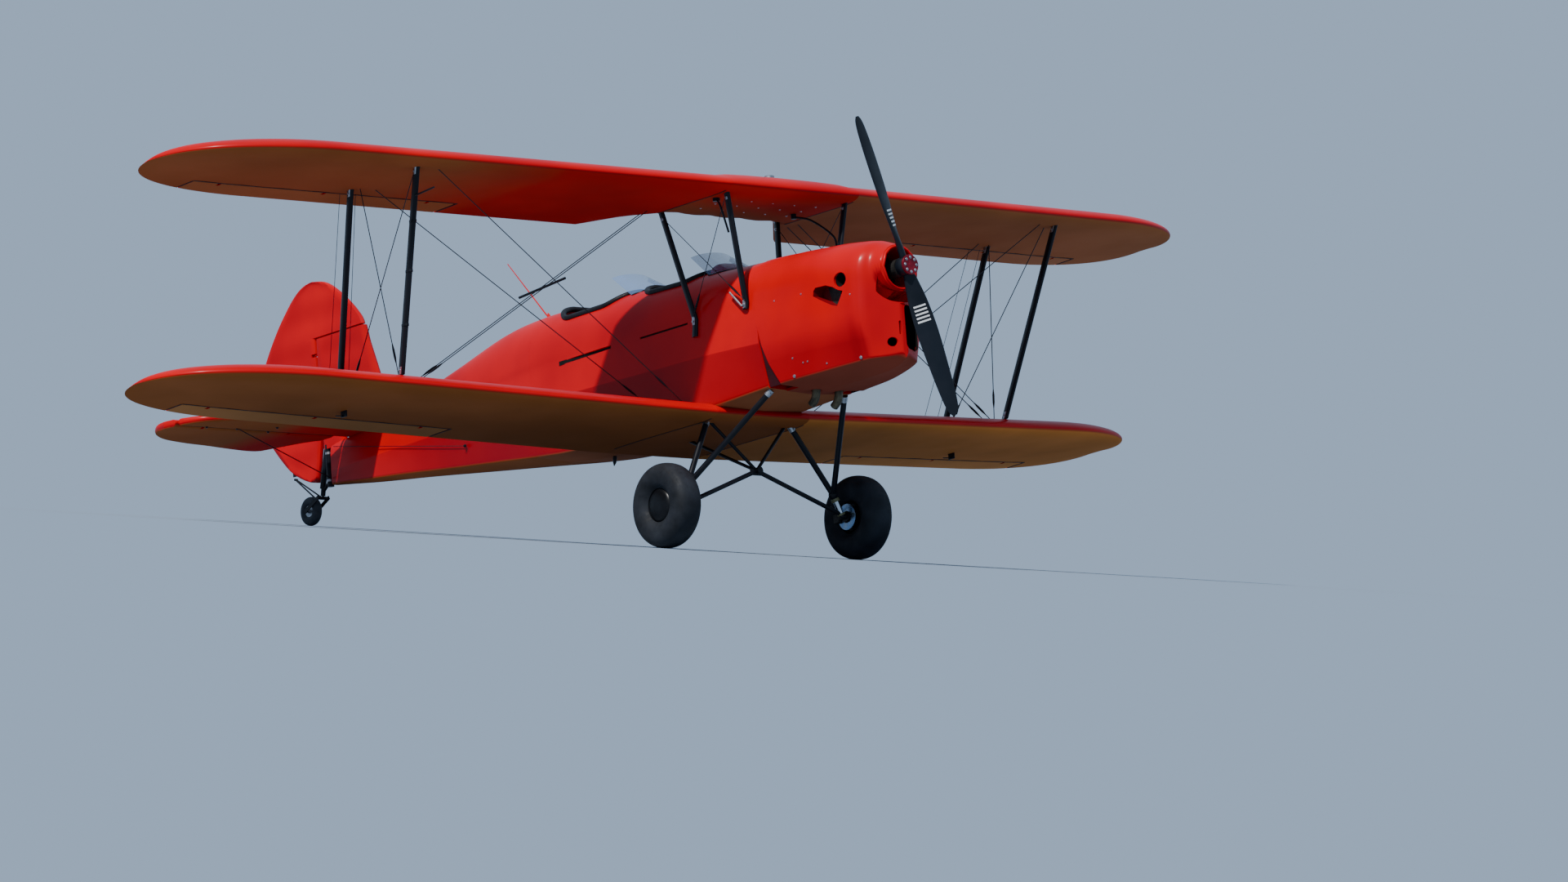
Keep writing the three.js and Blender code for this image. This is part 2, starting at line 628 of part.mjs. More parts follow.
// Landing gear.
const GEAR = {
  frontTop: vec(307, 1101, -622),
  rearTop: vec(345, 1719, -699),
  elbow: vec(612, 1650, -1158),
  axleInner: vec(668, MAIN_WHEEL.y, MAIN_WHEEL.z),
  apex: vec(0, 1675, -1025),
  braceTop: vec(325, 1735, -695),
  braceAft: vec(0, 2340, -700),
};
const LEG_RADIUS = 19;
const STUB_RADIUS = 21;
const AXLE_RADIUS = 18;
const BRACE_RADIUS = 11;
const HALF_AXLE_RADIUS = 15;
const AXLE_REACH = 60;            // past the middle of the wheel
const mirrorPoint = (point) => vec(-point.x, point.y, point.z);
const beyond = (from, to, extra) => to.clone().add(to.clone().sub(from).setLength(extra));

function gearLeg(grow = 0) {
  const axleEnd = vec(MAIN_WHEEL.x + AXLE_REACH, MAIN_WHEEL.y, MAIN_WHEEL.z);
  return join(
    rod(GEAR.elbow, beyond(GEAR.elbow, GEAR.frontTop, 6), LEG_RADIUS + grow),
    rod(GEAR.elbow, beyond(GEAR.elbow, GEAR.rearTop, 20), LEG_RADIUS + grow),
    rod(
      beyond(GEAR.axleInner, GEAR.elbow, 30),
      beyond(GEAR.elbow, GEAR.axleInner, 6),
      STUB_RADIUS + grow,
    ),
    rod(GEAR.axleInner.clone().add(vec(-14, 0, 0)), axleEnd, AXLE_RADIUS + grow, 20),
  );
}

const bellySeat = shifted(bellyFairing, 0, 0, -SEAT_GAP);
const tubSeat = shifted(tubOuter, 0, 0, -SEAT_GAP);
const lowerWingSeat = shifted(lowerPanel, 0, 0, -SEAT_GAP);

function gearLegs() {
  return cut(gearLeg(), bellySeat, tubSeat, lowerWingSeat);
}

function gearVee() {
  const inner = vec(GEAR.axleInner.x - 20, MAIN_WHEEL.y, MAIN_WHEEL.z + 18);
  const arms = [[inner, HALF_AXLE_RADIUS], [beyond(GEAR.apex, GEAR.braceTop, 12), BRACE_RADIUS]];
  let vee = rod(GEAR.apex, beyond(GEAR.apex, GEAR.braceAft, 20), BRACE_RADIUS);
  for (const [end, radius] of arms) {
    vee = join(vee, rod(GEAR.apex, end, radius), rod(GEAR.apex, mirrorPoint(end), radius));
  }
  const legs = gearLeg(SEAT_GAP);
  return cut(vee, legs, mirrored(legs), bellySeat, tubSeat, lowerWingSeat, mirrored(lowerWingSeat));
}

// Wheels, turned about the X axis. The tread's flats face the floor when the aircraft is parked.
const WHEEL_SIDES = 28;
const HUB_SIDES = 24;

function wheelPart(profile, sides, flatDown) {
  const geometry = new THREE.LatheGeometry(profile.map(([r, x]) => new THREE.Vector2(r, x)), sides);
  geometry.rotateZ(-Math.PI / 2);
  geometry.rotateX(flatDown);
  return solid(geometry);
}

const TYRE_SECTION = [
  [0.4, -0.33], [0.6, -0.49], [0.8, -0.5], [0.93, -0.38], [1, -0.17],
  [1, 0.17], [0.93, 0.38], [0.8, 0.5], [0.6, 0.49], [0.4, 0.33], [0.4, -0.33],
];

// Ground line: the tangent under the main wheels and the tail wheel.
const wheelbase = Math.hypot(TAIL_WHEEL.y - MAIN_WHEEL.y, TAIL_WHEEL.z - MAIN_WHEEL.z);
const PARKED_PITCH = -Math.atan2(TAIL_WHEEL.z - MAIN_WHEEL.z, TAIL_WHEEL.y - MAIN_WHEEL.y)
  - Math.asin((MAIN_WHEEL.radius - TAIL_WHEEL.radius) / wheelbase);
const flatTurn = (sides) => Math.PI / sides - PARKED_PITCH;

function tyre(wheel, sides) {
  const corner = wheel.radius / Math.cos(Math.PI / sides);
  const profile = TYRE_SECTION.map(([r, x]) => [r * corner, x * wheel.width]);
  return wheelPart(profile, sides, flatTurn(sides)).translate([wheel.x, wheel.y, wheel.z]);
}

// The hub, closed outboard by its cap, with the brake disc on its inboard side.
const HUB_BORE = AXLE_RADIUS + 0.6;
const hubRadius = 0.4 * MAIN_WHEEL.radius - SEAT_GAP;
const DISC = { radius: 86, from: -96, to: -89 };

function mainHub() {
  const profile = [
    [0, AXLE_REACH + 4], [HUB_BORE, AXLE_REACH + 4], [HUB_BORE, DISC.from - 14], [34, DISC.from - 14],
    [34, DISC.from], [DISC.radius, DISC.from], [DISC.radius, DISC.to], [44, DISC.to], [44, -58],
    [hubRadius, -58], [hubRadius, 58], [96, 74], [60, 80], [0, 80],
  ];
  return wheelPart(profile, HUB_SIDES, 0).translate([MAIN_WHEEL.x, MAIN_WHEEL.y, MAIN_WHEEL.z]);
}

// Tail.
const FIN_OUTLINE = [
  [5450, STABILISER.thickness + SEAT_GAP], [5520, 240], [5600, 460], [5660, 625], [5690, 745],
  [6245, 745], [6245, -30], [5996, -30], [5996, STABILISER.thickness + SEAT_GAP],
];
const RUDDER_OUTLINE = [
  [6253, 757], [5704, 757], [5722, 812], [5825, 930], [5990, 1070], [6110, 1132], [6250, 1163],
  [6390, 1160], [6520, 1122], [6640, 1043], [6745, 930], [6860, 760], [6935, 600], [6957, 440],
  [6935, 270], [6870, 110], [6765, -35], [6640, -140], [6500, -205], [6380, -238], [6253, -240],
];
const FIN_THICKNESS = 44;
const RUDDER_THICKNESS = 40;
const STABILISER_OUTLINE = [
  [500, 5440], [900, 5530], [1180, 5640], [1350, 5760], [1440, 5880], [1462, STABILISER.rear],
];
const ELEVATOR_OUTLINE = [
  [1476, 5948], [1495, 6060], [1470, 6180], [1390, 6300], [1250, 6400], [1040, 6470], [830, 6510],
  [600, 6565], [420, 6594], [330, 6560], [290, 6420], [210, 6200], [130, 6080], [112, 5948],
];

const tailPlate = (outline, thickness) => plate(outline, thickness, thickness / 4, UPRIGHT);

// Both halves of a flat tail surface, from the outline of the left one.
function tailplane(outline) {
  const middle = STABILISER.z + STABILISER.thickness / 2;
  const left = plate(outline, STABILISER.thickness, STABILISER.thickness / 4, flatAt(middle));
  return [left, mirrored(left)];
}

// Where the tail's hinges sit between the two ends of their line.
const rudderLine = [vec(0, RUDDER_AXIS_Y, -200), vec(0, RUDDER_AXIS_Y, 700)];
const elevatorLine = [120, 1440].map((x) => vec(x, ELEVATOR_AXIS.y, ELEVATOR_AXIS.z));
const rudderHinges = hingeParts(...rudderLine, [0.06, 0.5, 0.93]);
const elevatorHinges = hingeParts(...elevatorLine, [0.3, 0.85]);
const RUDDER_BRACKET = 50;        // ahead of the hinge line
const ELEVATOR_BRACKET = 60;
const MIDDLE = { halfWidth: 120, inset: 10 };    // a plain block where the two halves meet
const TORQUE_TUBE = { radius: 14, reach: 140 };

function stabiliser() {
  const outline = [[0, STABILISER.front], ...STABILISER_OUTLINE, [0, STABILISER.rear]];
  const [left, right] = tailplane(outline);
  const link = box(
    [-MIDDLE.halfWidth, STABILISER.front + MIDDLE.inset, STABILISER.z],
    [MIDDLE.halfWidth, STABILISER.rear - MIDDLE.inset, STABILISER.z + STABILISER.thickness],
  );
  let all = join(left, link, right);
  for (const { middle, pin } of elevatorHinges) {
    const hanger = join(bracket(middle, 'x', ELEVATOR_BRACKET), pin);
    all = join(all, hanger, mirrored(hanger));
  }
  return all;
}

function elevator() {
  const [left, right] = tailplane(ELEVATOR_OUTLINE);
  const [tubeLeft, tubeRight] = [1, -1].map((hand) => (
    vec(hand * TORQUE_TUBE.reach, ELEVATOR_AXIS.y, ELEVATOR_AXIS.z)
  ));
  let all = join(left, right, rod(tubeRight, tubeLeft, TORQUE_TUBE.radius));
  for (const { middle, bore } of elevatorHinges) {
    const hole = join(slot(middle, 'x'), bore);
    all = cut(all, hole, mirrored(hole));
  }
  return all;
}

const STERNPOST = { y: 6222.3, radius: 17, top: 20, bottom: -272 };
const PIVOT = { y: 6300, z: -312, radius: 17, height: 56, pin: 8, bore: 8.6, arm: 12, armUp: 14 };
const SWIVEL_AXIS = vec(0, 0, 1).applyAxisAngle(vec(1, 0, 0), -PARKED_PITCH);

function rudderAndFin() {
  let rudder = tailPlate(RUDDER_OUTLINE, RUDDER_THICKNESS);
  let fin = tailPlate(FIN_OUTLINE, FIN_THICKNESS);
  const brackets = [];
  for (const { middle, pin, bore } of rudderHinges) {
    rudder = cut(rudder, slot(middle, 'z'), bore);
    brackets.push(join(bracket(middle, 'z', RUDDER_BRACKET), pin));
  }
  fin = join(fin, brackets[1], brackets[2]);
  return { rudder, fin, lowBracket: brackets[0] };
}

const { rudder, fin, lowBracket } = rudderAndFin();

// The stern's tube carries the rudder's lowest hinge and the tail wheel's pivot.
function tailLeg() {
  const pivot = vec(0, PIVOT.y, PIVOT.z);
  const half = SWIVEL_AXIS.clone().multiplyScalar(PIVOT.height / 2);
  const [postFoot, postTop] = [STERNPOST.bottom, STERNPOST.top].map((z) => vec(0, STERNPOST.y, z));
  const post = rod(postFoot, postTop, STERNPOST.radius, 16);
  const barrel = rod(pivot.clone().sub(half), pivot.clone().add(half), PIVOT.radius, 16);
  const arm = rod(vec(0, STERNPOST.y, STERNPOST.bottom + PIVOT.armUp), pivot, PIVOT.arm);
  const [boreFoot, boreTop] = [-1.1, 1.1].map((share) => pivot.clone().addScaledVector(half, share));
  const bore = rod(boreFoot, boreTop, PIVOT.bore);
  return cut(join(post, arm, barrel, lowBracket), bore, shifted(fin, 0, 0, -SEAT_GAP));
}

const FORK = { halfWidth: 42, thickness: 7, blade: 13, drop: 14, crown: 12, above: 12, below: 14 };

function tailFork() {
  const pivot = vec(0, PIVOT.y, PIVOT.z);
  const half = SWIVEL_AXIS.clone().multiplyScalar(PIVOT.height / 2);
  const crown = pivot.clone().sub(half).addScaledVector(SWIVEL_AXIS, -FORK.drop);
  const axle = vec(0, TAIL_WHEEL.y, TAIL_WHEEL.z);
  const blades = [-1, 1].map((hand) => {
    const x = hand * FORK.halfWidth;
    const offset = vec(hand * FORK.thickness, 0, 0);
    const along = axle.clone().sub(crown).normalize();
    const across = vec(0, -along.z, along.y).multiplyScalar(FORK.blade);
    const from = vec(x, crown.y, crown.z).addScaledVector(along, -FORK.above);
    const to = vec(x, axle.y, axle.z).addScaledVector(along, FORK.below);
    const ring = (shift) => [from, to].flatMap((end, i) => (i === 0
      ? [end.clone().sub(across), end.clone().add(across)]
      : [end.clone().add(across), end.clone().sub(across)])).map((point) => point.add(shift));
    return loft([ring(vec(0, 0, 0)), ring(offset)]);
  });
  const reach = FORK.halfWidth + FORK.thickness;
  const crownBar = rod(vec(-reach, crown.y, crown.z), vec(reach, crown.y, crown.z), FORK.crown, 12);
  const pin = rod(crown, pivot.clone().addScaledVector(half, 0.9), PIVOT.pin, 12);
  const axlePin = rod(vec(-reach, axle.y, axle.z), vec(reach, axle.y, axle.z), PIVOT.pin, 12);
  return join(blades[0], blades[1], crownBar, pin, axlePin);
}

function tailHub() {
  const outer = 0.4 * TAIL_WHEEL.radius - SEAT_GAP;
  const profile = [
    [PIVOT.bore, -34], [14, -34], [14, -22], [outer, -20], [outer, 20], [14, 22], [14, 34],
    [PIVOT.bore, 34], [PIVOT.bore, -34],
  ];
  return wheelPart(profile, 16, 0).translate([0, TAIL_WHEEL.y, TAIL_WHEEL.z]);
}

// Cockpit fittings, trimmed to the space inside the skin.
const cockpitSpace = tubInner(SKIN + SEAT_GAP);
const floorZ = (frameY) => {
  const next = tubFrames.findIndex((frame) => frame.y >= frameY);
  const [a, b] = [tubFrames[next - 1], tubFrames[next]];
  return THREE.MathUtils.mapLinear(frameY, a.y, b.y, a.lowZ, b.lowZ) + SKIN;
};
const SEAT = {
  halfWidth: 225, depth: 400, pan: 90, panTop: 250, back: 70, backHeight: 560, ahead: 20, up: 4,
  pedestal: 150, pedestalInset: 60,
};

function seat({ to }) {
  const backY = to - SEAT.ahead;
  const floor = floorZ(backY) + SEAT.up;
  const frontY = backY - SEAT.depth;
  const panTop = floor + SEAT.panTop;
  const pan = box([-SEAT.halfWidth, frontY, panTop - SEAT.pan], [SEAT.halfWidth, backY, panTop]);
  const back = box(
    [-SEAT.halfWidth, backY - SEAT.back, panTop - 4 * SUNK],
    [SEAT.halfWidth, backY, panTop + SEAT.backHeight],
  );
  const pedestal = box(
    [-SEAT.pedestal, frontY + SEAT.pedestalInset, floor - SEAT.pedestalInset],
    [SEAT.pedestal, backY - SEAT.pedestalInset, panTop - SEAT.pan + SUNK],
  );
  return join(pan, back, pedestal).intersect(cockpitSpace);
}

const PANEL = { ahead: 60, thickness: 14, bottom: -90, halfWidth: 400, top: 400 };

function instrumentPanel({ from }) {
  const y = from - PANEL.ahead;
  const low = [-PANEL.halfWidth, y - PANEL.thickness, PANEL.bottom];
  return box(low, [PANEL.halfWidth, y, PANEL.top]).intersect(cockpitSpace);
}

const STICK = { aft: 60, sunk: 20, radius: 13, height: 440, rake: 40, grip: 20, gripLength: 110 };

function stick({ from }) {
  const y = from + STICK.aft;
  const floor = floorZ(y) - STICK.sunk;
  const foot = vec(0, y, floor);
  const top = vec(0, y + STICK.rake, floor + STICK.height);
  const stem = rod(foot, beyond(foot, top, -STICK.gripLength / 2), STICK.radius, 10);
  const grip = rod(beyond(foot, top, -STICK.gripLength), top, STICK.grip, 10);
  return join(stem, grip).intersect(cockpitSpace);
}

// A bent clear screen: half width, place and height of its foot and of its top, and how far its foot
// bows. It narrows evenly, so each strip of it is flat, and its sides droop as they run aft.
const SCREENS = {
  front: { footHalf: 225, footY: 1600, footZ: 300, topHalf: 165, topY: 1880, topZ: 462, bow: 160 },
  rear: { footHalf: 215, footY: 2440, footZ: 335, topHalf: 155, topY: 2730, topZ: 492, bow: 140 },
};
const SCREEN = { steps: 10, turn: 0.9 * Math.PI, droop: 0.25, inner: 0.97, below: 0.9 };

function windscreen({ footHalf, footY, footZ, topHalf, topY, topZ, bow }) {
  const edge = (angle, y, z, scale) => {
    const back = bow * scale * (1 - Math.cos(angle));
    return vec(footHalf * scale * Math.sin(angle), y + back, z - SCREEN.droop * back);
  };
  const narrowing = topHalf / footHalf;
  const footCentre = vec(0, footY + bow, footZ - SCREEN.droop * bow);
  const topCentre = vec(0, topY + bow * narrowing, topZ - SCREEN.droop * bow * narrowing);
  const rings = Array.from({ length: SCREEN.steps + 1 }, (_, i) => {
    const angle = (i / SCREEN.steps - 0.5) * SCREEN.turn;
    const foot = edge(angle, footY, footZ, 1);
    const top = edge(angle, topY, topZ, narrowing);
    const innerFoot = between(footCentre, foot, SCREEN.inner);
    const innerTop = between(topCentre, top, SCREEN.inner);
    const [root, innerRoot] = [[foot, top], [innerFoot, innerTop]].map(([a, b]) => (
      between(a, b, -SCREEN.below)
    ));
    return [root, top, innerTop, innerRoot];
  });
  return cut(loft(rings), shifted(tubOuter, 0, 0, SEAT_GAP));
}

// The whip stands in a tapered foot: from below the skin to its tip.
const ANTENNA = {
  root: vec(0, 3680, 312), footTop: vec(0, 3722, 420), whipFoot: vec(0, 3692, 386), tip: vec(0, 4092, 838),
  rootRadius: 26, footRadius: 7, whipRadius: 5,
};
const antenna = cut(
  join(
    rod(ANTENNA.root, ANTENNA.footTop, ANTENNA.rootRadius, 12, ANTENNA.footRadius),
    rod(ANTENNA.whipFoot, ANTENNA.tip, ANTENNA.whipRadius, 8),
  ),
  shifted(tailOuter, 0, 0, 2 * SEAT_GAP),
);

// Finishes.
const finish = (color, roughness, metalness = 0, opacity = 1) => new THREE.MeshStandardMaterial({
  color, roughness, metalness, opacity, transparent: opacity < 1,
});
const RED = () => finish(0xb01420, 0.25);
const BLACK = () => finish(0x1c1f24, 0.45);
const RUBBER = () => finish(0x202226, 0.8);
const STEEL = () => finish(0x9aa0a6, 0.35, 1);
const CLEAR = () => finish(0xb9c6d2, 0.05, 0, 0.35);
const LEATHER = () => finish(0x1b1a1a, 0.6);

const aircraft = new THREE.Group();

function piece(name, manifold, material) {
  const mesh = new THREE.Mesh(geometryOf(manifold), material);
  mesh.name = name;
  aircraft.add(mesh);
}

// The left piece and its mirror image on the right.
function pair(name, manifold, material) {
  piece(`${name}_left`, manifold, material());
  piece(`${name}_right`, mirrored(manifold), material());
}

piece('fuselage_forward', fuselageForward, RED());
piece('fuselage_aft', fuselageAft, RED());
piece('belly_fairing', bellyFairing, RED());
piece('engine_cowl', shifted(engineCowl(), 0, -SEAT_GAP, 0), RED());
piece('engine_block', engineBlock(), BLACK());
piece('propeller_blades', propeller(), BLACK());
piece('propeller_hub_plate', hubPlate, RED());
piece('upper_centre_section', upperCentre, RED());
pair('upper_wing', upperWing, RED);
pair('lower_wing', lowerLeft.fixed, RED);
pair('upper_aileron', upperLeft.aileron, RED);
pair('lower_aileron', lowerLeft.aileron, RED);
for (const { name, body } of [...cabaneStruts, ...interplaneStruts]) {
  pair(name, body, BLACK);
}
pair('landing_wires', landingWires(), STEEL);
pair('flying_wire_front', flyingWire(0.12, 0.112), STEEL);
pair('flying_wire_rear', flyingWire(0.36, 0.66), STEEL);
pair('stagger_wires', staggerWires(), STEEL);
pair('gear_leg', gearLegs(), BLACK);
piece('gear_vee', gearVee(), BLACK());
pair('main_tyre', tyre(MAIN_WHEEL, WHEEL_SIDES), RUBBER);
pair('main_hub', mainHub(), STEEL);
piece('stabiliser', stabiliser(), RED());
piece('elevator', elevator(), RED());
piece('fin', cut(fin, shifted(fuselageAft, 0, 0, SEAT_GAP)), RED());
piece('rudder', rudder, RED());
piece('tail_leg', tailLeg(), BLACK());
piece('tailwheel_fork', tailFork(), BLACK());
piece('tailwheel_tyre', tyre(TAIL_WHEEL, 20), RUBBER());
piece('tailwheel_hub', tailHub(), STEEL());
for (const [place, cockpit] of Object.entries(COCKPITS)) {
  piece(`seat_${place}`, seat(cockpit), LEATHER());
  piece(`instrument_panel_${place}`, instrumentPanel(cockpit), BLACK());
  piece(`control_stick_${place}`, stick(cockpit), BLACK());
  piece(`windscreen_${place}`, windscreen(SCREENS[place]), CLEAR());
}
piece('radio_antenna', antenna, RED());

// Pitch it onto its wheels, then put the middle of its footprint at the origin.
aircraft.rotation.x = PARKED_PITCH;
aircraft.updateMatrixWorld(true);
const extent = new THREE.Box3().setFromObject(aircraft, true);
aircraft.position.set(0, -(extent.min.y + extent.max.y) / 2, -extent.min.z);

const parked = new THREE.Group();
parked.add(aircraft);

export default parked;
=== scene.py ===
import json
import math
import bpy
import bmesh
import numpy as np
from mathutils import Matrix, Vector


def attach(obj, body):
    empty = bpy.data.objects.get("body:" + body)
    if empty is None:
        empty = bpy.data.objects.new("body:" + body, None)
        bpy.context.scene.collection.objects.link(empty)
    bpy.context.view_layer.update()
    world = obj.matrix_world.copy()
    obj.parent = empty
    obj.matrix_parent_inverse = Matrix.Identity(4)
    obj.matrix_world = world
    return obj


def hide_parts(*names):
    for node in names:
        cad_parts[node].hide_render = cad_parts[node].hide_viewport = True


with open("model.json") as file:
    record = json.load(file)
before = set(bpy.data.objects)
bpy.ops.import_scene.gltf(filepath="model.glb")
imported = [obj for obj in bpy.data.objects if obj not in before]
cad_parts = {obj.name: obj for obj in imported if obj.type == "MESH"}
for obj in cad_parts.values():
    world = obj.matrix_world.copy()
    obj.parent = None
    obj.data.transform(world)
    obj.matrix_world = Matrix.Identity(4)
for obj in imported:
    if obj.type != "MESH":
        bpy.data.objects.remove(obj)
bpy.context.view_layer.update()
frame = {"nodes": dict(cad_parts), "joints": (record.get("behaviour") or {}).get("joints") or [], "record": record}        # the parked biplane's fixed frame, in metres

# Shapes are drawn in the flying datum, in metres: nose to -Y, left wing to +X, up to +Z, the front of
# the propeller's hub plate at the origin. "parked" carries them into the frame, nose up on three wheels.
joints = {joint["name"]: joint for joint in frame["joints"]}
mounts = {mount["name"]: mount for mount in frame["record"]["mounts"]}
shaftLine = Vector(joints["propeller_spin"]["axis"])
parkedPitch = math.atan2(shaftLine.z, shaftLine.y)
parked = Matrix.Translation(Vector(mounts["propeller_hub_face"]["pos_m"])) @ Matrix.Rotation(parkedPitch, 4, "X")
sides = (("left", 1), ("right", -1))


# Shapes: an array of points and a list of faces.

def vec(x, y, z):
    return np.array((x, y, z), float)


def unit(v):
    return v / np.linalg.norm(v)


def between(a, b, share):
    return a + (b - a) * share


def readAt(rows, at, column=1):
    # a value from rows sorted by their first column
    return np.interp(at, rows[:, 0], rows[:, column])


def loft(rings, around=True, ends=True, wrap=False):
    # skins rows of equal rings; wrap joins the last row to the first
    rings = np.asarray(rings, float)
    rows, count = rings.shape[:2]
    index = np.arange(rows * count).reshape(rows, count)
    if wrap:
        index = np.vstack([index, index[:1]])
    if around:
        index = np.hstack([index, index[:, :1]])
    quads = np.stack([index[:-1, :-1], index[:-1, 1:], index[1:, 1:], index[1:, :-1]], -1)
    faces = [tuple(quad) for quad in quads.reshape(-1, 4).tolist()]
    if ends and not wrap:
        faces += [tuple(range(count))[::-1], tuple(range((rows - 1) * count, rows * count))]
    return rings.reshape(-1, 3), faces


def join(*shapes):
    points, faces, start = [], [], 0
    for somePoints, someFaces in shapes:
        points.append(somePoints)
        faces += [tuple(i + start for i in face) for face in someFaces]
        start += len(somePoints)
    return np.vstack(points), faces


def mirror(shape):
    return shape[0] * (-1, 1, 1), [face[::-1] for face in shape[1]]


def bothSides(shape):
    return join(shape, mirror(shape))


def smoothPath(points, steps=8):
    # a Catmull-Rom curve through the points, in any number of columns
    points = np.asarray(points, float)
    ends = np.vstack([2 * points[0] - points[1], points, 2 * points[-1] - points[-2]])
    t = np.linspace(0, 1, steps, endpoint=False)[:, None]
    path = []
    for a, b, c, d in zip(ends, ends[1:], ends[2:], ends[3:]):
        path.append(0.5 * (2 * b + (c - a) * t + (2 * a - 5 * b + 4 * c - d) * t**2
                           + (3 * b - a - 3 * c + d) * t**3))
    return np.vstack(path + [points[-1:]])


def sweep(path, radius, sides=12, flat=1.0, up=(0, 0, 1), closed=False):
    # a tube along a path; radius is one number or one for each point, flat squashes it across "up"
    path = np.asarray(path, float)
    radii = np.broadcast_to(radius, len(path))
    turn = np.linspace(0, 2 * math.pi, sides, endpoint=False)
    tangents = np.roll(path, -1, 0) - np.roll(path, 1, 0)
    if not closed:
        tangents[0], tangents[-1] = path[1] - path[0], path[-1] - path[-2]
    side = np.cross(tangents[0], up)
    if np.linalg.norm(side) < 1e-6 * np.linalg.norm(tangents[0]):
        side = np.cross(tangents[0], (1, 0, 0))
    rings = []
    for point, tangent, size in zip(path, tangents, radii):
        along = unit(tangent)
        side = unit(side - np.dot(side, along) * along)
        over = np.cross(side, along)
        rings.append(point + size * (np.outer(np.cos(turn), side) * flat + np.outer(np.sin(turn), over)))
    return loft(rings, wrap=closed)


def rod(start, end, radius, sides=16, endRadius=None):
    return sweep([start, end], [radius, radius if endRadius is None else endRadius], sides)


def lathe(profile, centre, axis, steps=64):
    # profile rows are (along the axis, radius); a profile that ends off the axis is closed on itself
    axis = unit(np.asarray(axis, float))
    side = unit(np.cross(axis, (0.31, 0.17, 0.93)))
    over = np.cross(axis, side)
    turn = np.linspace(0, 2 * math.pi, steps, endpoint=False)
    around = np.outer(np.cos(turn), side) + np.outer(np.sin(turn), over)
    rings = [centre + along * axis + radius * around for along, radius in profile]
    return loft(rings, ends=False, wrap=profile[0][1] > 0 and profile[-1][1] > 0)


def block(low, high, bevel=0.0, segments=2):
    bm = bmesh.new()
    bmesh.ops.create_cube(bm, size=1)
    low, high = Vector(low), Vector(high)
    bmesh.ops.scale(bm, vec=high - low, verts=bm.verts)
    bmesh.ops.translate(bm, vec=(low + high) / 2, verts=bm.verts)
    if bevel:
        bmesh.ops.bevel(bm, geom=bm.edges[:], offset=bevel, segments=segments, profile=0.5, affect="EDGES")
    shape = readShape(bm)
    bm.free()
    return shape


def readShape(bm):
    bm.verts.ensure_lookup_table()
    bm.verts.index_update()
    return np.array([v.co[:] for v in bm.verts]), [tuple(v.index for v in f.verts) for f in bm.faces]


def rawMesh(name, shape):
    mesh = bpy.data.meshes.new(name)
    mesh.from_pydata(shape[0].tolist(), [], shape[1])
    bm = bmesh.new()
    bm.from_mesh(mesh)
    bmesh.ops.remove_doubles(bm, verts=bm.verts, dist=1e-5)
    bmesh.ops.dissolve_degenerate(bm, edges=bm.edges, dist=1e-6)
    bmesh.ops.recalc_face_normals(bm, faces=bm.faces)
    bm.to_mesh(mesh)
    bm.free()
    return mesh


def rawObject(name, shape):
    thing = bpy.data.objects.new(name, rawMesh(name, shape))
    bpy.context.scene.collection.objects.link(thing)
    return thing


def evaluated(thing):
    return bpy.data.meshes.new_from_object(thing.evaluated_get(bpy.context.evaluated_depsgraph_get()))


def carve(shape, *cutters, operation="DIFFERENCE"):
    # one exact boolean after another
    body = rawObject("body", shape)
    tools = [rawObject("tool", cutter) for cutter in cutters]
    for tool in tools:
        cutting = body.modifiers.new("cut", "BOOLEAN")
        cutting.object, cutting.operation, cutting.solver = tool, operation, "EXACT"
    result = evaluated(body)
    bm = bmesh.new()
    bm.from_mesh(result)
    made = readShape(bm)
    bm.free()
    for thing in [body, *tools]:
        bpy.data.objects.remove(thing)
    return made


def dress(mesh, material, crease=35):
    mesh.polygons.foreach_set("use_smooth", [True] * len(mesh.polygons))
    mesh.set_sharp_from_angle(angle=math.radians(crease))
    mesh.materials.clear()
    mesh.materials.append(material)


def markUnderside(mesh, kept=1):
    # "underside" is 1 where a face looks down; the second label is the share of the brown painted underside shade
    # that lies there, and "lean" is 1 where a side leans in a little, to be painted a darker red shade
    normals = np.zeros(len(mesh.loops) * 3)
    mesh.corner_normals.foreach_get("vector", normals)
    under = np.clip((-normals[2::3] - 0.2) / 0.35, 0, 1)
    lean = np.clip((0.02 - normals[2::3]) / 0.14, 0, 1) * (1 - under)
    if np.ndim(kept):
        corners = np.zeros(len(mesh.loops), int)
        mesh.loops.foreach_get("vertex_index", corners)
        kept = kept[corners]
    for label, values in (("underside", under), ("paintedShade", under * kept), ("lean", lean)):
        mesh.attributes.new(label, "FLOAT", "CORNER").data.foreach_set("value", values.astype(np.float32))


def makePiece(name, shape, material, nodes=(), body="airframe", crease=35, paintedShadeOf=None):
    # the last argument gives the share of the painted underside shade that stays at a place
    mesh = rawMesh(name, shape)
    places = np.array([v.co[:] for v in mesh.vertices])
    mesh.transform(parked)
    dress(mesh, material, crease)
    markUnderside(mesh, paintedShadeOf(places) if paintedShadeOf else 1)
    piece = bpy.data.objects.new(name, mesh)
    bpy.context.scene.collection.objects.link(piece)
    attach(piece, body)
    if nodes:
        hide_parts(*nodes)
    return piece


def onSide(shape, hand):
    return shape if hand > 0 else mirror(shape)


def makePair(name, shape, material, node=None, body="airframe"):
    # the left piece and its mirror on the right; "{}" in the body's name stands for the side
    for side, hand in sides:
        makePiece(f"{name}_{side}", onSide(shape, hand), material, [f"{node}_{side}"] if node else (),
                  body.format(side))


# Materials.

def srgb(hexCode):
    # "#rrggbb" as linear colour
    parts = [int(hexCode[i:i + 2], 16) / 255 for i in (1, 3, 5)]
    return [c / 12.92 if c <= 0.04045 else ((c + 0.055) / 1.055) ** 2.4 for c in parts] + [1.0]


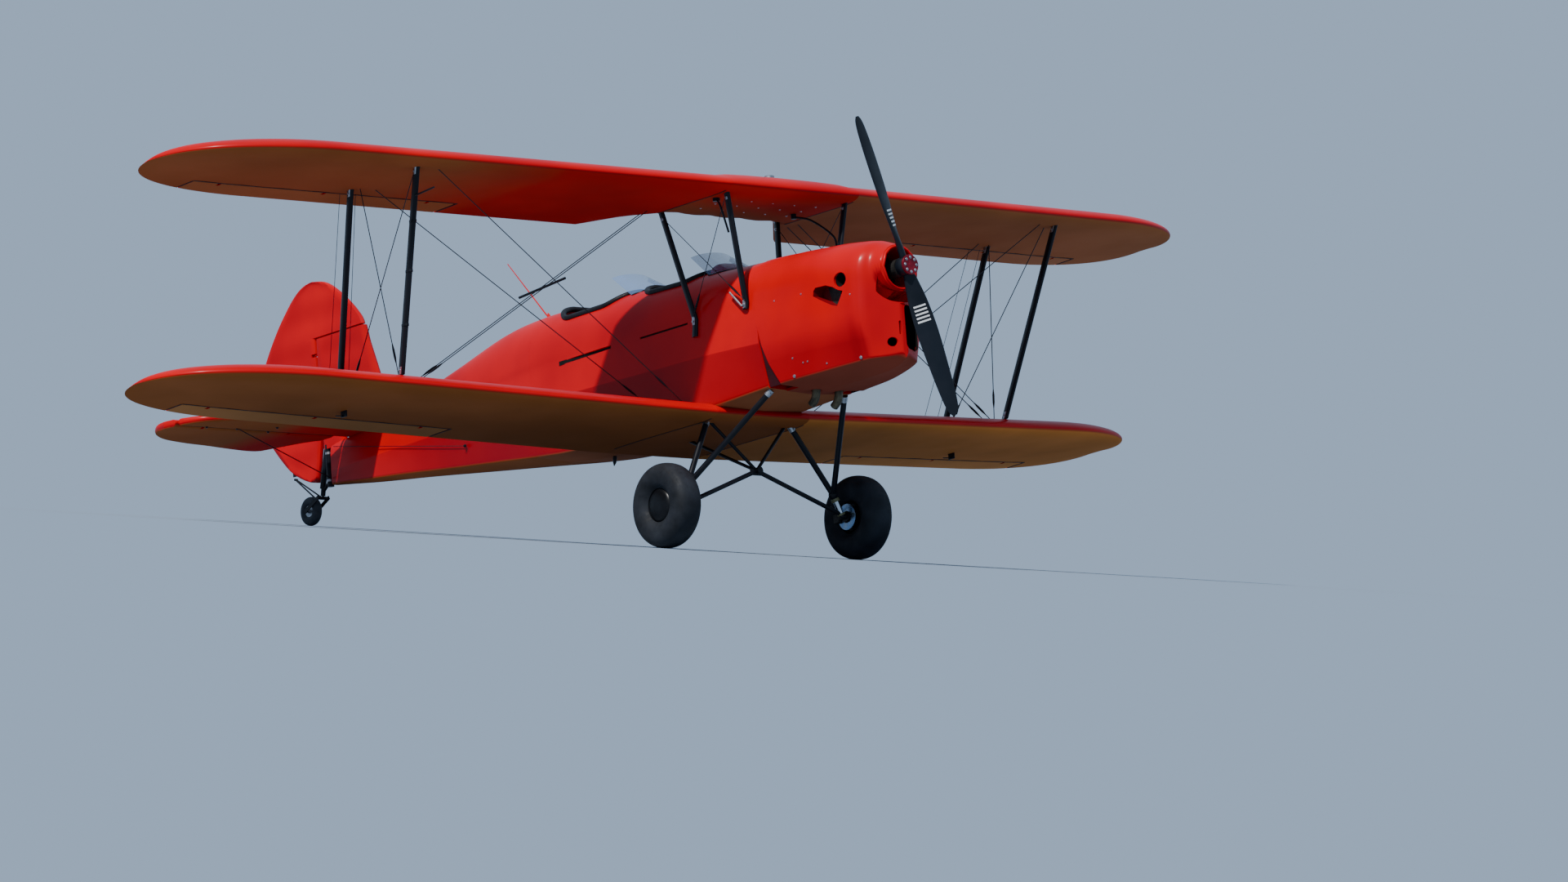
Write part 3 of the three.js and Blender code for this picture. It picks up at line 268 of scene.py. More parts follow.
def addNode(tree, kind, inputs=None, **settings):
    node = tree.nodes.new(kind)
    for key, value in settings.items():
        setattr(node, key, value)
    for key, value in (inputs or {}).items():
        if isinstance(value, bpy.types.NodeSocket):
            tree.links.new(value, node.inputs[key])
        else:
            node.inputs[key].default_value = value
    return node


def startMaterial(name):
    material = bpy.data.materials.new(name)
    material.use_nodes = True
    tree = material.node_tree
    tree.nodes.clear()
    shader = addNode(tree, "ShaderNodeBsdfPrincipled")
    addNode(tree, "ShaderNodeOutputMaterial", {"Surface": shader.outputs[0]})
    place = addNode(tree, "ShaderNodeTexCoord").outputs["Object"]
    return material, tree, shader, place


def ramp(tree, value, low, high, lowTo=0.0, highTo=1.0):
    node = addNode(tree, "ShaderNodeMapRange", {"Value": value, "From Min": low, "From Max": high,
                                                "To Min": lowTo, "To Max": highTo})
    return node.outputs[0]


def mixColour(tree, share, a, b):
    node = addNode(tree, "ShaderNodeMix", data_type="RGBA")
    for socket, value in ((0, share), (6, a), (7, b)):
        if isinstance(value, bpy.types.NodeSocket):
            tree.links.new(value, node.inputs[socket])
        else:
            node.inputs[socket].default_value = value
    return node.outputs[2]


def finishMaterial(name, colour, other, spread, roughness, bumps=(), **shaderValues):
    # a base colour that drifts to another over patches of "spread" metres, with roughness between two
    # values and bumps given as (size of the grain in metres, depth in metres)
    material, tree, shader, place = startMaterial(name)
    cloud = addNode(tree, "ShaderNodeTexNoise", {"Vector": place, "Scale": 1 / spread, "Detail": 4.0})
    share = ramp(tree, cloud.outputs[0], 0.35, 0.7)
    tree.links.new(mixColour(tree, share, srgb(colour), srgb(other)), shader.inputs["Base Color"])
    fine = addNode(tree, "ShaderNodeTexNoise", {"Vector": place, "Scale": 4 / spread, "Detail": 3.0})
    tree.links.new(ramp(tree, fine.outputs[0], 0.3, 0.7, *roughness), shader.inputs["Roughness"])
    normal = None
    for size, depth in bumps:
        grain = addNode(tree, "ShaderNodeTexNoise", {"Vector": place, "Scale": 1 / size, "Detail": 2.0})
        inputs = {"Height": grain.outputs[0], "Distance": depth, "Strength": 1.0}
        if normal:
            inputs["Normal"] = normal
        normal = addNode(tree, "ShaderNodeBump", inputs).outputs[0]
    if normal:
        tree.links.new(normal, shader.inputs["Normal"])
    for key, value in shaderValues.items():
        shader.inputs[key].default_value = value
    return material


# Polyurethane enamel sprayed on doped cloth, ply and sheet: deep, glossy, a faint ripple in the reflections. Where it
# faces the ground it is matt and painted brown, a painted shade with the ground's painted reflection; sides leaning in
# get a darker painted shade.
enamel = {"red": "#c6000c", "deep": "#ab0010", "low": "#7d000e", "paintedShade": "#94562a",
          "paintedShadeShare": 0.95, "roughness": (0.32, 0.44), "undersideRoughness": 0.45, "gloss": 0.05, "coat": 0.12,
          "ripple": 0.35, "rippleDepth": 0.0002, "weave": 0.004, "weaveDepth": 0.00003}


def redEnamel(name, paintedShadeShare, paintedShade):
    material, tree, shader, place = startMaterial(name)
    cloud = addNode(tree, "ShaderNodeTexNoise", {"Vector": place, "Scale": 1.3, "Detail": 3.0})
    patch = ramp(tree, cloud.outputs[0], 0.35, 0.68)
    fresh = mixColour(tree, patch, srgb(enamel["red"]), srgb(enamel["deep"]))
    # Sides that lean in a little turn a darker red: painted shade
    lean = addNode(tree, "ShaderNodeAttribute", attribute_name="lean").outputs["Fac"]
    paint = mixColour(tree, ramp(tree, lean, 0.0, 1.0, 0.0, 0.8), fresh, srgb(enamel["low"]))
    # Facing down, the red turns to a brown painted shade with the ground's painted reflection
    paintedShadeColour = mixColour(tree, patch, srgb(paintedShade), [0.8 * c for c in srgb(paintedShade)[:3]] + [1.0])
    under = addNode(tree, "ShaderNodeAttribute", attribute_name="underside").outputs["Fac"]
    paintedShadeMask = addNode(tree, "ShaderNodeAttribute", attribute_name="paintedShade").outputs["Fac"]
    share = ramp(tree, paintedShadeMask, 0.0, 1.0, 0.0, paintedShadeShare)
    tree.links.new(mixColour(tree, share, paint, paintedShadeColour), shader.inputs["Base Color"])
    smooth = ramp(tree, cloud.outputs[0], 0.3, 0.7, *enamel["roughness"])
    matt = ramp(tree, under, 0.0, 1.0, 0.0, enamel["undersideRoughness"])
    rough = addNode(tree, "ShaderNodeMath", {0: smooth, 1: matt}, operation="ADD")
    tree.links.new(rough.outputs[0], shader.inputs["Roughness"])
    tree.links.new(ramp(tree, under, 0.0, 0.7, enamel["coat"], 0.0), shader.inputs["Coat Weight"])
    ripple = addNode(tree, "ShaderNodeTexNoise", {"Vector": place, "Scale": 1 / enamel["ripple"], "Detail": 1.0})
    wavy = addNode(tree, "ShaderNodeBump", {"Height": ripple.outputs[0], "Distance": enamel["rippleDepth"]})
    weave = addNode(tree, "ShaderNodeTexNoise", {"Vector": place, "Scale": 1 / enamel["weave"]})
    bump = addNode(tree, "ShaderNodeBump", {"Height": weave.outputs[0], "Distance": enamel["weaveDepth"],
                                            "Normal": wavy.outputs[0]})
    tree.links.new(bump.outputs[0], shader.inputs["Normal"])
    shader.inputs["Specular IOR Level"].default_value = enamel["gloss"]
    shader.inputs["Coat Roughness"].default_value = 0.2
    return material


red = redEnamel("redPolyurethaneEnamel", enamel["paintedShadeShare"], enamel["paintedShade"])
# The painted underside shade's tone differs from wing to wing, lighter or darker for the light each wing and aileron
# gets; 1 is the left, -1 the right.
paintedShadeTones = {
    "Wing": {("upper", 1): "#a5663a", ("upper", -1): "#9c5c30", ("lower", 1): "#d1813b", ("lower", -1): "#995a2b"},
    "Aileron": {("upper", 1): "#b0744a", ("upper", -1): "#a86c3c", ("lower", 1): "#dc8e49", ("lower", -1): "#b57a45"},
}
# Copies for sheet metal and for the cowl, whose brown painted underside shade is lighter and darker, 0.85 of it showing
redMetal = redEnamel("redEnamelOnSheet", 0.85, "#96623c")
cowlRed = redEnamel("redEnamelOnCowl", 0.85, "#7c4430")
dull = {"Specular IOR Level": 0.2}

# Stoved black enamel on steel tube: semi-gloss, with a little dust.
black = finishMaterial("blackStovedEnamel", "#0c0e14", "#14171f", 0.4, (0.3, 0.45), bumps=[(0.03, 0.0002)], **dull)
# Carbon and wood blades under satin black lacquer.
bladeBlack = finishMaterial("satinBlackLacquer", "#0f141b", "#171c24", 0.3, (0.35, 0.5), bumps=[(0.01, 0.0001)],
                            **dull)
# White lacquer bars.
whiteLacquer = finishMaterial("whiteLacquer", "#e8e8e6", "#d5d5d2", 0.05, (0.35, 0.5))
# Drawn stainless steel: bright, with long fine streaks.
wireSteel = finishMaterial("drawnStainlessSteel", "#26282d", "#1b1d21", 0.1, (0.35, 0.5), Metallic=0.6)
# Zinc-plated and machined fittings: pale, slightly mottled.
zinc = finishMaterial("zincPlatedSteel", "#b9bcc0", "#94999f", 0.03, (0.3, 0.5), bumps=[(0.004, 0.00005)], Metallic=1.0)
# Hard chrome on the stub axle.
chrome = finishMaterial("hardChrome", "#c9d2da", "#aebac4", 0.1, (0.06, 0.14), Metallic=1.0)
# Brake disc: ground steel that blues with heat.
discSteel = finishMaterial("groundSteelDisc", "#6d8fb5", "#9aa4ad", 0.05, (0.22, 0.35), Metallic=1.0)
# Moulded tyre rubber: dark, matt, with dust in patches and a pebbled skin.
rubber = finishMaterial("mouldedTyreRubber", "#14171c", "#262a31", 0.12, (0.55, 0.8),
                        bumps=[(0.012, 0.0004), (0.003, 0.0001)], **dull)
# The tail wheel's harder rubber, greyed by dust.
dustyRubber = finishMaterial("dustyTyreRubber", "#353b41", "#4a5055", 0.06, (0.6, 0.8), bumps=[(0.006, 0.0002)], **dull)
# Black cellulose paint on the wheel cap.
capBlack = finishMaterial("blackCapPaint", "#08090c", "#101216", 0.1, (0.3, 0.42), **dull)
# Sand-cast aluminium, heat-stained.
casting = finishMaterial("sandCastAluminium", "#4b4a48", "#2c2b2a", 0.08, (0.5, 0.75),
                         bumps=[(0.004, 0.0003)], Metallic=0.8)
# Exhaust pipe: mild steel browned by heat.
burntSteel = finishMaterial("heatBrownedSteel", "#6a624c", "#3d392f", 0.05, (0.45, 0.7),
                            bumps=[(0.006, 0.0002)], Metallic=0.7)
# Matt black that paints the shade inside ducts, holes and slots; in the exhaust bores it is sooty as well.
shadeBlack = finishMaterial("mattBlackPaintedShade", "#070708", "#0d0c0c", 0.1, (0.7, 0.9), **dull)
# Red enamel painted darker: with painted shadow over sooty red behind the cowl's rear lips, and a dull red of painted
# shade in the cowl's outlets.
shadowAndSootRed = finishMaterial("redEnamelPaintedShadowAndSoot", "#3d0610", "#27070d", 0.08, (0.5, 0.7), **dull)
shadedOutletRed = finishMaterial("redEnamelPaintedShade", "#7c0612", "#5c0510", 0.06, (0.4, 0.6), **dull)
# Dark strips that paint the shadow in gaps: matt, with a fine woven bump.
gapShadowPaint = finishMaterial("paintedGapShadow", "#2a120c", "#1f0f0c", 0.1, (0.6, 0.8), bumps=[(0.003, 0.0001)], **dull)
# Upholstery hide: fine grain and a soft sheen.
hide = finishMaterial("blackUpholsteryHide", "#111014", "#1c1a1f", 0.08, (0.4, 0.6),
                      bumps=[(0.0035, 0.0004), (0.02, 0.0006)], **dull)
# Crackle paint on the panels.
crackle = finishMaterial("blackCracklePaint", "#101113", "#18191c", 0.05, (0.45, 0.6), bumps=[(0.002, 0.0003)])
# Instrument glass over a black dial.
dialGlass = finishMaterial("dialGlass", "#08090a", "#0c0d10", 0.05, (0.04, 0.08))
# Olive zinc-chromate primer on small fittings and pipes.
olive = finishMaterial("oliveChromatePrimer", "#6b6a45", "#4d4c36", 0.03, (0.45, 0.6), bumps=[(0.005, 0.0001)])
hubRed = finishMaterial("redAnodisedPlate", "#8f1026", "#6d0b1e", 0.05, (0.22, 0.35), Metallic=0.6)


def clearAcrylic():
    # Blown acrylic sheet: clear, a blue-grey cast, fine hazy scratches.
    material, tree, shader, place = startMaterial("blownAcrylicSheet")
    haze = addNode(tree, "ShaderNodeTexNoise", {"Vector": place, "Scale": 40.0, "Detail": 3.0})
    tree.links.new(ramp(tree, haze.outputs[0], 0.3, 0.7, 0.03, 0.12), shader.inputs["Roughness"])
    tint = mixColour(tree, haze.outputs[0], srgb("#5f7fae"), srgb("#7390bd"))
    tree.links.new(tint, shader.inputs["Base Color"])
    shader.inputs["IOR"].default_value = 1.49
    shader.inputs["Specular IOR Level"].default_value = 0.3
    shader.inputs["Alpha"].default_value = 0.3
    return material


acrylic = clearAcrylic()
print("materials made")


# Geometry Nodes: small parts set on marked points.

def partsOnPoints(name, build, **sizes):
    # a tree that sets one small part on every point, turned to the point's "facing"
    tree = bpy.data.node_groups.new(name, "GeometryNodeTree")
    tree.interface.new_socket("Geometry", in_out="INPUT", socket_type="NodeSocketGeometry")
    for label, value in sizes.items():
        tree.interface.new_socket(label, in_out="INPUT", socket_type="NodeSocketFloat").default_value = value
    tree.interface.new_socket("Finish", in_out="INPUT", socket_type="NodeSocketMaterial")
    tree.interface.new_socket("Geometry", in_out="OUTPUT", socket_type="NodeSocketGeometry")
    given = addNode(tree, "NodeGroupInput").outputs
    facing = addNode(tree, "GeometryNodeInputNamedAttribute", {"Name": "facing"}, data_type="FLOAT_VECTOR")
    turn = addNode(tree, "FunctionNodeAlignRotationToVector", {"Vector": facing.outputs[0]}, axis="Z")
    spin = addNode(tree, "FunctionNodeRandomValue", {"Seed": 7}, data_type="FLOAT")
    spin.inputs[3].default_value = math.pi
    twist = addNode(tree, "FunctionNodeAxisAngleToRotation", {"Axis": (0, 0, 1), "Angle": spin.outputs[1]})
    both = addNode(tree, "FunctionNodeRotateRotation", {"Rotation": turn.outputs[0], "Rotate By": twist.outputs[0]},
                   rotation_space="LOCAL")
    part = build(tree, given)
    copies = addNode(tree, "GeometryNodeInstanceOnPoints", {"Points": given["Geometry"], "Instance": part,
                                                            "Rotation": both.outputs[0]})
    real = addNode(tree, "GeometryNodeRealizeInstances", {"Geometry": copies.outputs[0]})
    painted = addNode(tree, "GeometryNodeSetMaterial", {"Geometry": real.outputs[0], "Material": given["Finish"]})
    addNode(tree, "NodeGroupOutput", {"Geometry": painted.outputs[0]})
    return tree


def domedScrew(tree, given):
    # a low cone of a head on a washer
    head = addNode(tree, "GeometryNodeMeshCone", {"Vertices": 12, "Radius Top": 0.7, "Radius Bottom": 1.0,
                                                  "Depth": 1.0}, fill_type="NGON")
    washer = addNode(tree, "GeometryNodeMeshCylinder", {"Vertices": 12, "Radius": 1.35, "Depth": 0.5}, fill_type="NGON")
    lifted = addNode(tree, "GeometryNodeTransform", {"Geometry": head.outputs[0], "Translation": (0, 0, 0.2)})
    parts = addNode(tree, "GeometryNodeJoinGeometry")
    for part in (lifted.outputs[0], washer.outputs[0]):
        tree.links.new(part, parts.inputs[0])
    scale = addNode(tree, "ShaderNodeCombineXYZ", {0: given["Radius"], 1: given["Radius"], 2: given["Height"]})
    sized = addNode(tree, "GeometryNodeTransform", {"Geometry": parts.outputs[0], "Scale": scale.outputs[0]})
    return sized.outputs[0]


def turnbuckle(tree, given):
    # a barrel that tapers to a fork at both ends
    parts = addNode(tree, "GeometryNodeJoinGeometry")
    rows = [("barrel", 1.0, 1.0, 0.4, -0.2), ("upper", 1.0, 0.45, 0.3, 0.2), ("lower", 0.45, 1.0, 0.3, -0.5)]
    for label, bottom, top, depth, low in rows:
        cone = addNode(tree, "GeometryNodeMeshCone", {"Vertices": 10, "Radius Top": top, "Radius Bottom": bottom,
                                                      "Depth": depth}, fill_type="NGON", label=label)
        put = addNode(tree, "GeometryNodeTransform", {"Geometry": cone.outputs[0], "Translation": (0, 0, low)})
        tree.links.new(put.outputs[0], parts.inputs[0])
    scale = addNode(tree, "ShaderNodeCombineXYZ", {0: given["Radius"], 1: given["Radius"], 2: given["Length"]})
    sized = addNode(tree, "GeometryNodeTransform", {"Geometry": parts.outputs[0], "Scale": scale.outputs[0]})
    return sized.outputs[0]


screwTree = partsOnPoints("screws on points", domedScrew, Radius=0.004, Height=0.003)
buckleTree = partsOnPoints("turnbuckles on points", turnbuckle, Radius=0.007, Length=0.12)


def scatter(name, tree, spots, material, slot, body="airframe", **sizes):
    # spots are rows of (point, facing), both in the datum
    turned = parked.to_3x3()
    mesh = bpy.data.meshes.new(name)
    mesh.from_pydata([parked @ Vector(point) for point, facing in spots], [], [])
    facings = np.array([(turned @ Vector(facing)).normalized()[:] for point, facing in spots], np.float32)
    mesh.attributes.new("facing", "FLOAT_VECTOR", "POINT").data.foreach_set("vector", facings.ravel())
    host = bpy.data.objects.new(name + "Points", mesh)
    bpy.context.scene.collection.objects.link(host)
    setter = host.modifiers.new("parts", "NODES")
    setter.node_group = tree
    for item in tree.interface.items_tree:
        if item.in_out == "INPUT" and item.name in sizes:
            setter[item.identifier] = sizes[item.name]
        if item.in_out == "INPUT" and item.name == "Finish":
            setter[item.identifier] = material
    made = evaluated(host)
    bpy.data.objects.remove(host)
    made.name = name
    dress(made, material)
    piece = bpy.data.objects.new(name, made)
    bpy.context.scene.collection.objects.link(piece)
    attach(piece, body)
    return piece


# Wings.
section = {"chord": 1.2, "sweep": 0.17, "incidence": 0.04, "camber": 0.04, "thickness": 0.12,
           "tipLength": 0.95, "tipCentre": 0.56, "tipTurn": 0.97, "nose": 0.03, "clearance": 0.006, "endGap": 0.009,
           "ribSpacing": 0.27, "sag": 0.0016, "scallop": 0.022, "frontSteps": 22, "aftSteps": 7}
hingeShare = 1 - (0.24 - section["nose"]) / section["chord"]
wings = {
    "upper": {"root": 0.53, "tip": 4.19, "leadingY": 1.055, "leadingZ": 0.717, "dihedral": 0.042,
              "aileron": (1.87, 3.70)},
    "lower": {"root": 0.382, "tip": 4.044, "leadingY": 1.554, "leadingZ": -0.675, "dihedral": 0.06,
              "aileron": (1.667, 3.541)},
}
cutout = {"half": 0.5, "y": 1.905, "slope": 0.578 / 0.7, "close": 0.1}
seam = 0.0003                     # where two pieces meet


def sectionFaces(u):
    # the heights of a cambered section's two faces, as shares of the chord
    u = np.clip(u, 0, 1)
    thickness = 5 * section["thickness"] * (
        0.2969 * np.sqrt(u) - 0.126 * u - 0.3516 * u**2 + 0.2843 * u**3 - 0.1015 * u**4)
    camber = np.where(u < 0.4, (section["camber"] / 0.16) * (0.8 * u - u * u),
                      (section["camber"] / 0.36) * (0.2 + 0.8 * u - u * u))
    return camber + thickness, camber - thickness


def planform(wing, x):
    # leading edge, its height and the chord at x, with the rounded tip
    out = max(abs(x) - wing["root"], 0)
    leadingY = wing["leadingY"] + section["sweep"] * out
    leadingZ = wing["leadingZ"] + wing["dihedral"] * out
    past = (abs(x) - wing["tip"] + section["tipLength"]) / section["tipLength"]
    if past <= 0:
        return leadingY, leadingZ, section["chord"]
    chord = section["chord"] * math.cos(math.asin(min(past, 1))) ** 0.8
    lost = section["chord"] - chord
    back = section["tipCentre"] * lost
    return leadingY + back, leadingZ - section["incidence"] * back + 0.02 * lost, chord


def onWing(wing, x, u, face="middle", fatness=1.0):
    # a point on a wing; u runs along the chord
    leadingY, leadingZ, chord = planform(wing, x)
    top, bottom = sectionFaces(u)
    height = {"top": top, "bottom": bottom, "middle": (top + bottom) / 2}[face] * fatness
    return vec(x, leadingY + u * chord, leadingZ + (height - section["incidence"] * u) * chord)


def hingeAt(wing, x):
    # the aileron's straight hinge line; one that reaches into the rounded tip follows the wing's sweep
    inner, outer = (onWing(wing, end, hingeShare) for end in wing["aileron"])
    start, slope = inner, (outer - inner) / (outer[0] - inner[0])
    if wing["aileron"][1] > wing["tip"] - section["tipLength"]:
        start = vec(wing["root"], wing["leadingY"] + hingeShare * section["chord"],
                    inner[2] - wing["dihedral"] * (inner[0] - wing["root"]))
        slope = vec(1, section["sweep"], wing["dihedral"])
    return start + slope * (x - start[0])


def hingePoints(wing):
    # where the three hinges sit along an aileron
    inner, outer = wing["aileron"]
    return [hingeAt(wing, between(inner, outer, share)) for share in (0.1, 0.5, 0.9)]


def trailingEnd(wing, x):
    # how far along the chord the wing goes; the centre section's cut-out shortens it
    leadingY, _, chord = planform(wing, x)
    if wing is not wings["upper"]:
        return 1.0
    edge = cutout["y"] + max(abs(x) - cutout["half"], 0) / cutout["slope"]
    return min(1.0, (edge - leadingY) / chord)


def wingRing(wing, x, bay=False, fatness=1.0):
    leadingY, leadingZ, chord = planform(wing, x)
    last = trailingEnd(wing, x)
    bayWave = math.sin(math.pi * (abs(x) - wing["root"]) / section["ribSpacing"]) ** 2
    if wing is wings["upper"] and abs(x) < wing["root"]:
        last -= section["scallop"] * bayWave / chord      # its cloth pulls the edge in between the ribs
    split = (hingeAt(wing, abs(x))[1] - section["nose"] - section["clearance"] - leadingY) / chord
    split = min(max(split, 0.3), 0.94 * last)
    front = split * (1 - np.cos(np.linspace(0, math.pi / 2, section["frontSteps"] + 1)))
    aft = np.linspace(split, last, section["aftSteps"] + 1)[1:]
    u = np.concatenate([front, aft])
    top, bottom = sectionFaces(u)
    if last < 1:                  # the cut edge closes to a thin line
        middle = (top + bottom) / 2
        share = np.clip((last - u) / cutout["close"], 0.06, 1) ** 0.5
        top, bottom = middle + (top - middle) * share, middle + (bottom - middle) * share
    sag = section["sag"] * bayWave * np.clip((u - 0.12) / 0.15, 0, 1) * np.clip((last - u) / 0.1, 0, 1)
    slope = leadingZ - section["incidence"] * u * chord
    topZ = slope + top * fatness * chord - sag
    bottomZ = slope + bottom * fatness * chord + sag
    y = leadingY + u * chord
    if bay:                       # a flat wall where the aileron's bay begins
        steps = np.arange(1, section["aftSteps"] + 1) / section["aftSteps"]
        at = section["frontSteps"]
        middle = (topZ[at] + bottomZ[at]) / 2
        topZ[at + 1:] = topZ[at] + (middle - topZ[at]) * steps
        bottomZ[at + 1:] = bottomZ[at] + (middle - bottomZ[at]) * steps
        y[at + 1:] = y[at]
    upper = np.column_stack([np.full_like(y, x), y, topZ])
    lower = np.column_stack([np.full_like(y, x), y, bottomZ])
    return np.vstack([upper, lower[:0:-1]])


def spanSteps(start, end, spacing):
    return list(np.linspace(start, end, max(2, int(round(abs(end - start) / spacing)) + 1)))


def wingPanel(wing):
    inner, outer = wing["aileron"]
    gap, fine = section["endGap"], section["ribSpacing"] / 6
    tipStart = wing["tip"] - section["tipLength"]
    rows = [(x, False) for x in spanSteps(wing["root"], inner - gap, fine)]
    rows += [(x, True) for x in spanSteps(inner - gap, tipStart, fine)]
    pastTip = [tipStart + section["tipLength"] * math.sin(a)
               for a in np.linspace(0, section["tipTurn"] * math.pi / 2, 22)[1:]]
    rows += [(x, True) for x in pastTip if x < outer + gap - 0.01]
    rows += [(outer + gap, True), (outer + gap, False)]
    rows += [(x, False) for x in pastTip if x > outer + gap + 0.01]
    return loft([wingRing(wing, x, bay) for x, bay in rows])


def aileronShape(wing):
    inner, outer = wing["aileron"]
    rings = []
    for x in spanSteps(inner, outer, section["ribSpacing"] / 6):
        leadingY, leadingZ, chord = planform(wing, x)
        hinge = hingeAt(wing, x)
        u = np.linspace((hinge[1] - leadingY) / chord, 1, 11)
        top, bottom = sectionFaces(u)
        wave = math.sin(math.pi * (x - wing["root"]) / section["ribSpacing"]) ** 2
        sag = 0.6 * section["sag"] * wave * np.clip((u - u[0]) / 0.05, 0, 1) * np.clip((1 - u) / 0.05, 0, 1)
        slope = leadingZ - section["incidence"] * u * chord
        topZ, bottomZ = slope + top * chord - sag, slope + bottom * chord + sag
        y = leadingY + u * chord
        middle, half = (topZ[0] + bottomZ[0]) / 2, (topZ[0] - bottomZ[0]) / 2
        nose = [(x, y[0] + min(half, section["nose"]) * math.cos(a), middle + half * math.sin(a))
                for a in np.linspace(-math.pi / 2, -1.5 * math.pi, 12)[1:-1]]
        rings.append(np.vstack([np.column_stack([np.full(11, x), y, topZ]),
                                np.column_stack([np.full(11, x), y, bottomZ])[::-1], nose]))
    slots = [block(at + (-0.011, -0.06, -0.06), at + (0.011, 0.022, 0.06)) for at in hingePoints(wing)]
    return carve(loft(rings), *slots)


def hingeBrackets(wing):
    # a plate on the wing and a pin through the aileron's nose at each hinge
    parts = []
    for at in hingePoints(wing):
        parts.append(block(at + (-0.004, -0.07, -0.009), at + (0.004, 0.009, 0.009), 0.002))
        parts.append(rod(at + (-0.03, -0.003, 0), at + (0.03, 0.003, 0), 0.006))
    return join(*parts)


def lessPaintedShadeInnerRightWing(places):
    # less painted underside shade on the inner right upper wing
    return np.interp(-places[:, 0], (1.7, 2.5), (0.12, 1))


def lessPaintedShadeCentre(places):
    # less painted underside shade under the front of the centre section
    return np.interp(places[:, 1] - 0.3 * places[:, 0], (1.35, 1.75), (0.2, 1))


for level, wing in wings.items():
    shapes = {"Wing": wingPanel(wing), "Aileron": aileronShape(wing)}
    makePair(f"{level}AileronHinges", hingeBrackets(wing), zinc)
    for side, hand in sides:
        for part, shape in shapes.items():
            # Each wing and aileron gets its own copy, lighter or darker in its painted underside shade
            paint = redEnamel(f"redEnamel{part}_{level}_{side}", enamel["paintedShadeShare"], paintedShadeTones[part][level, hand])
            makePiece(f"{level}{part}_{side}", onSide(shape, hand), paint,
                      [f"{level}_{part.lower()}_{side}"], "airframe" if part == "Wing" else f"aileron_{level}_{side}",
                      paintedShadeOf=lessPaintedShadeInnerRightWing if (level, part, hand) == ("upper", "Wing", -1) else None)

gapStrip = {"ahead": 0.006, "behind": 0.009, "out": 0.009, "in": 0.003, "thick": 0.0012, "sunk": 0.002,
           "rootHalf": 0.006, "rootThick": 0.0015}


def stripBelow(line, first, second, thick=gapStrip["thick"]):
    # a strip below a line of points, between two offsets across it
    corners = [vec(*offset, z) for z, pair in ((-thick, (first, second)), (gapStrip["sunk"], (second, first)))
               for offset in pair]
    return loft([[p + corner for corner in corners] for p in line])


def gapShadowStrips(wing):
    # dark strips under the gaps round an aileron, on the wing's side of them, and along the wing's root, painting the
    # shadow in these gaps
    inner, outer = wing["aileron"]
    line = []
    for x in spanSteps(inner - section["endGap"], outer + section["endGap"], section["ribSpacing"] / 6):
        leadingY, _, chord = planform(wing, x)
        y = hingeAt(wing, x)[1] - section["nose"] - section["clearance"]
        line.append(vec(x, y, onWing(wing, x, (y - leadingY) / chord, "bottom")[2]))
    strips = [stripBelow(line, (0, -gapStrip["ahead"]), (0, gapStrip["behind"]))]
    for x, way in ((inner - section["endGap"], -1), (outer + section["endGap"], 1)):
        leadingY, _, chord = planform(wing, x)
        start = (hingeAt(wing, x)[1] - section["nose"] - leadingY) / chord
        line = [onWing(wing, x, u, "bottom") for u in np.linspace(start, 0.985, 8)]
        strips.append(stripBelow(line, (way * gapStrip["out"], 0), (-way * gapStrip["in"], 0)))
    x, half = wing["root"] + 0.004, gapStrip["rootHalf"]
    line = [onWing(wing, x, u, "bottom") for u in np.linspace(0.06, trailingEnd(wing, x) - 0.1, 24)]
    return join(*strips, stripBelow(line, (half, 0), (-half, 0), gapStrip["rootThick"]))


for level, wing in wings.items():
    makePiece(f"{level}GapShadowStrips", bothSides(gapShadowStrips(wing)), gapShadowPaint)

centreRows = spanSteps(-wings["upper"]["root"] + seam, wings["upper"]["root"] - seam, 0.03)
tankFatness = [np.interp(abs(x), (0, 0.3, 0.445, 0.53), (1.22, 1.19, 1.14, 1.0)) for x in centreRows]
centreSection = loft([wingRing(wings["upper"], x, fatness=f) for x, f in zip(centreRows, tankFatness)])
makePiece("upperCentreSection", centreSection, red, ["upper_centre_section"], paintedShadeOf=lessPaintedShadeCentre)
print("wings made")

# Fuselage and cowl. Columns: place, half width and height of the lower edge, of the crease along the
# side and of the upper side, the height of the top, and how far the frame leans aft with its height.
hull = {"lean": 0.1165, "leanCentre": -0.347, "bellyDrop": 0.05, "archSteps": 14, "archPower": 0.75,
        "lowCorner": 0.016, "crease": 0.005, "cowlCrease": 0.13, "shoulder": 0.05, "skin": 0.02,
        "keel": (0.034, 0.036, 0.014, 0)}
fuselageRows = [
    (1.105, 0.350, -0.613, 0.378, -0.316, 0.353, -0.060, 0.270, 0.1165),
    (1.552, 0.357, -0.633, 0.380, -0.295, 0.362, -0.042, 0.288, 0),
    (1.900, 0.357, -0.640, 0.380, -0.287, 0.362, -0.040, 0.318, 0),
    (2.300, 0.352, -0.645, 0.380, -0.281, 0.362, -0.040, 0.330, 0),
    (2.750, 0.342, -0.650, 0.372, -0.270, 0.355, -0.038, 0.345, 0),
    (3.160, 0.325, -0.640, 0.352, -0.258, 0.338, -0.038, 0.362, 0),
    (3.550, 0.297, -0.603, 0.326, -0.246, 0.312, -0.038, 0.373, 0),
    (4.000, 0.246, -0.548, 0.276, -0.233, 0.262, -0.045, 0.345, 0),
    (4.600, 0.187, -0.476, 0.203, -0.216, 0.190, -0.060, 0.226, 0),
    (5.200, 0.137, -0.402, 0.143, -0.206, 0.134, -0.090, 0.110, 0),
    (5.700, 0.096, -0.346, 0.096, -0.200, 0.088, -0.110, 0.030, 0),
    (6.000, 0.060, -0.308, 0.060, -0.200, 0.054, -0.130, 0.005, 0),
    (6.150, 0.034, -0.290, 0.034, -0.193, 0.031, -0.138, -0.006, 0),
]
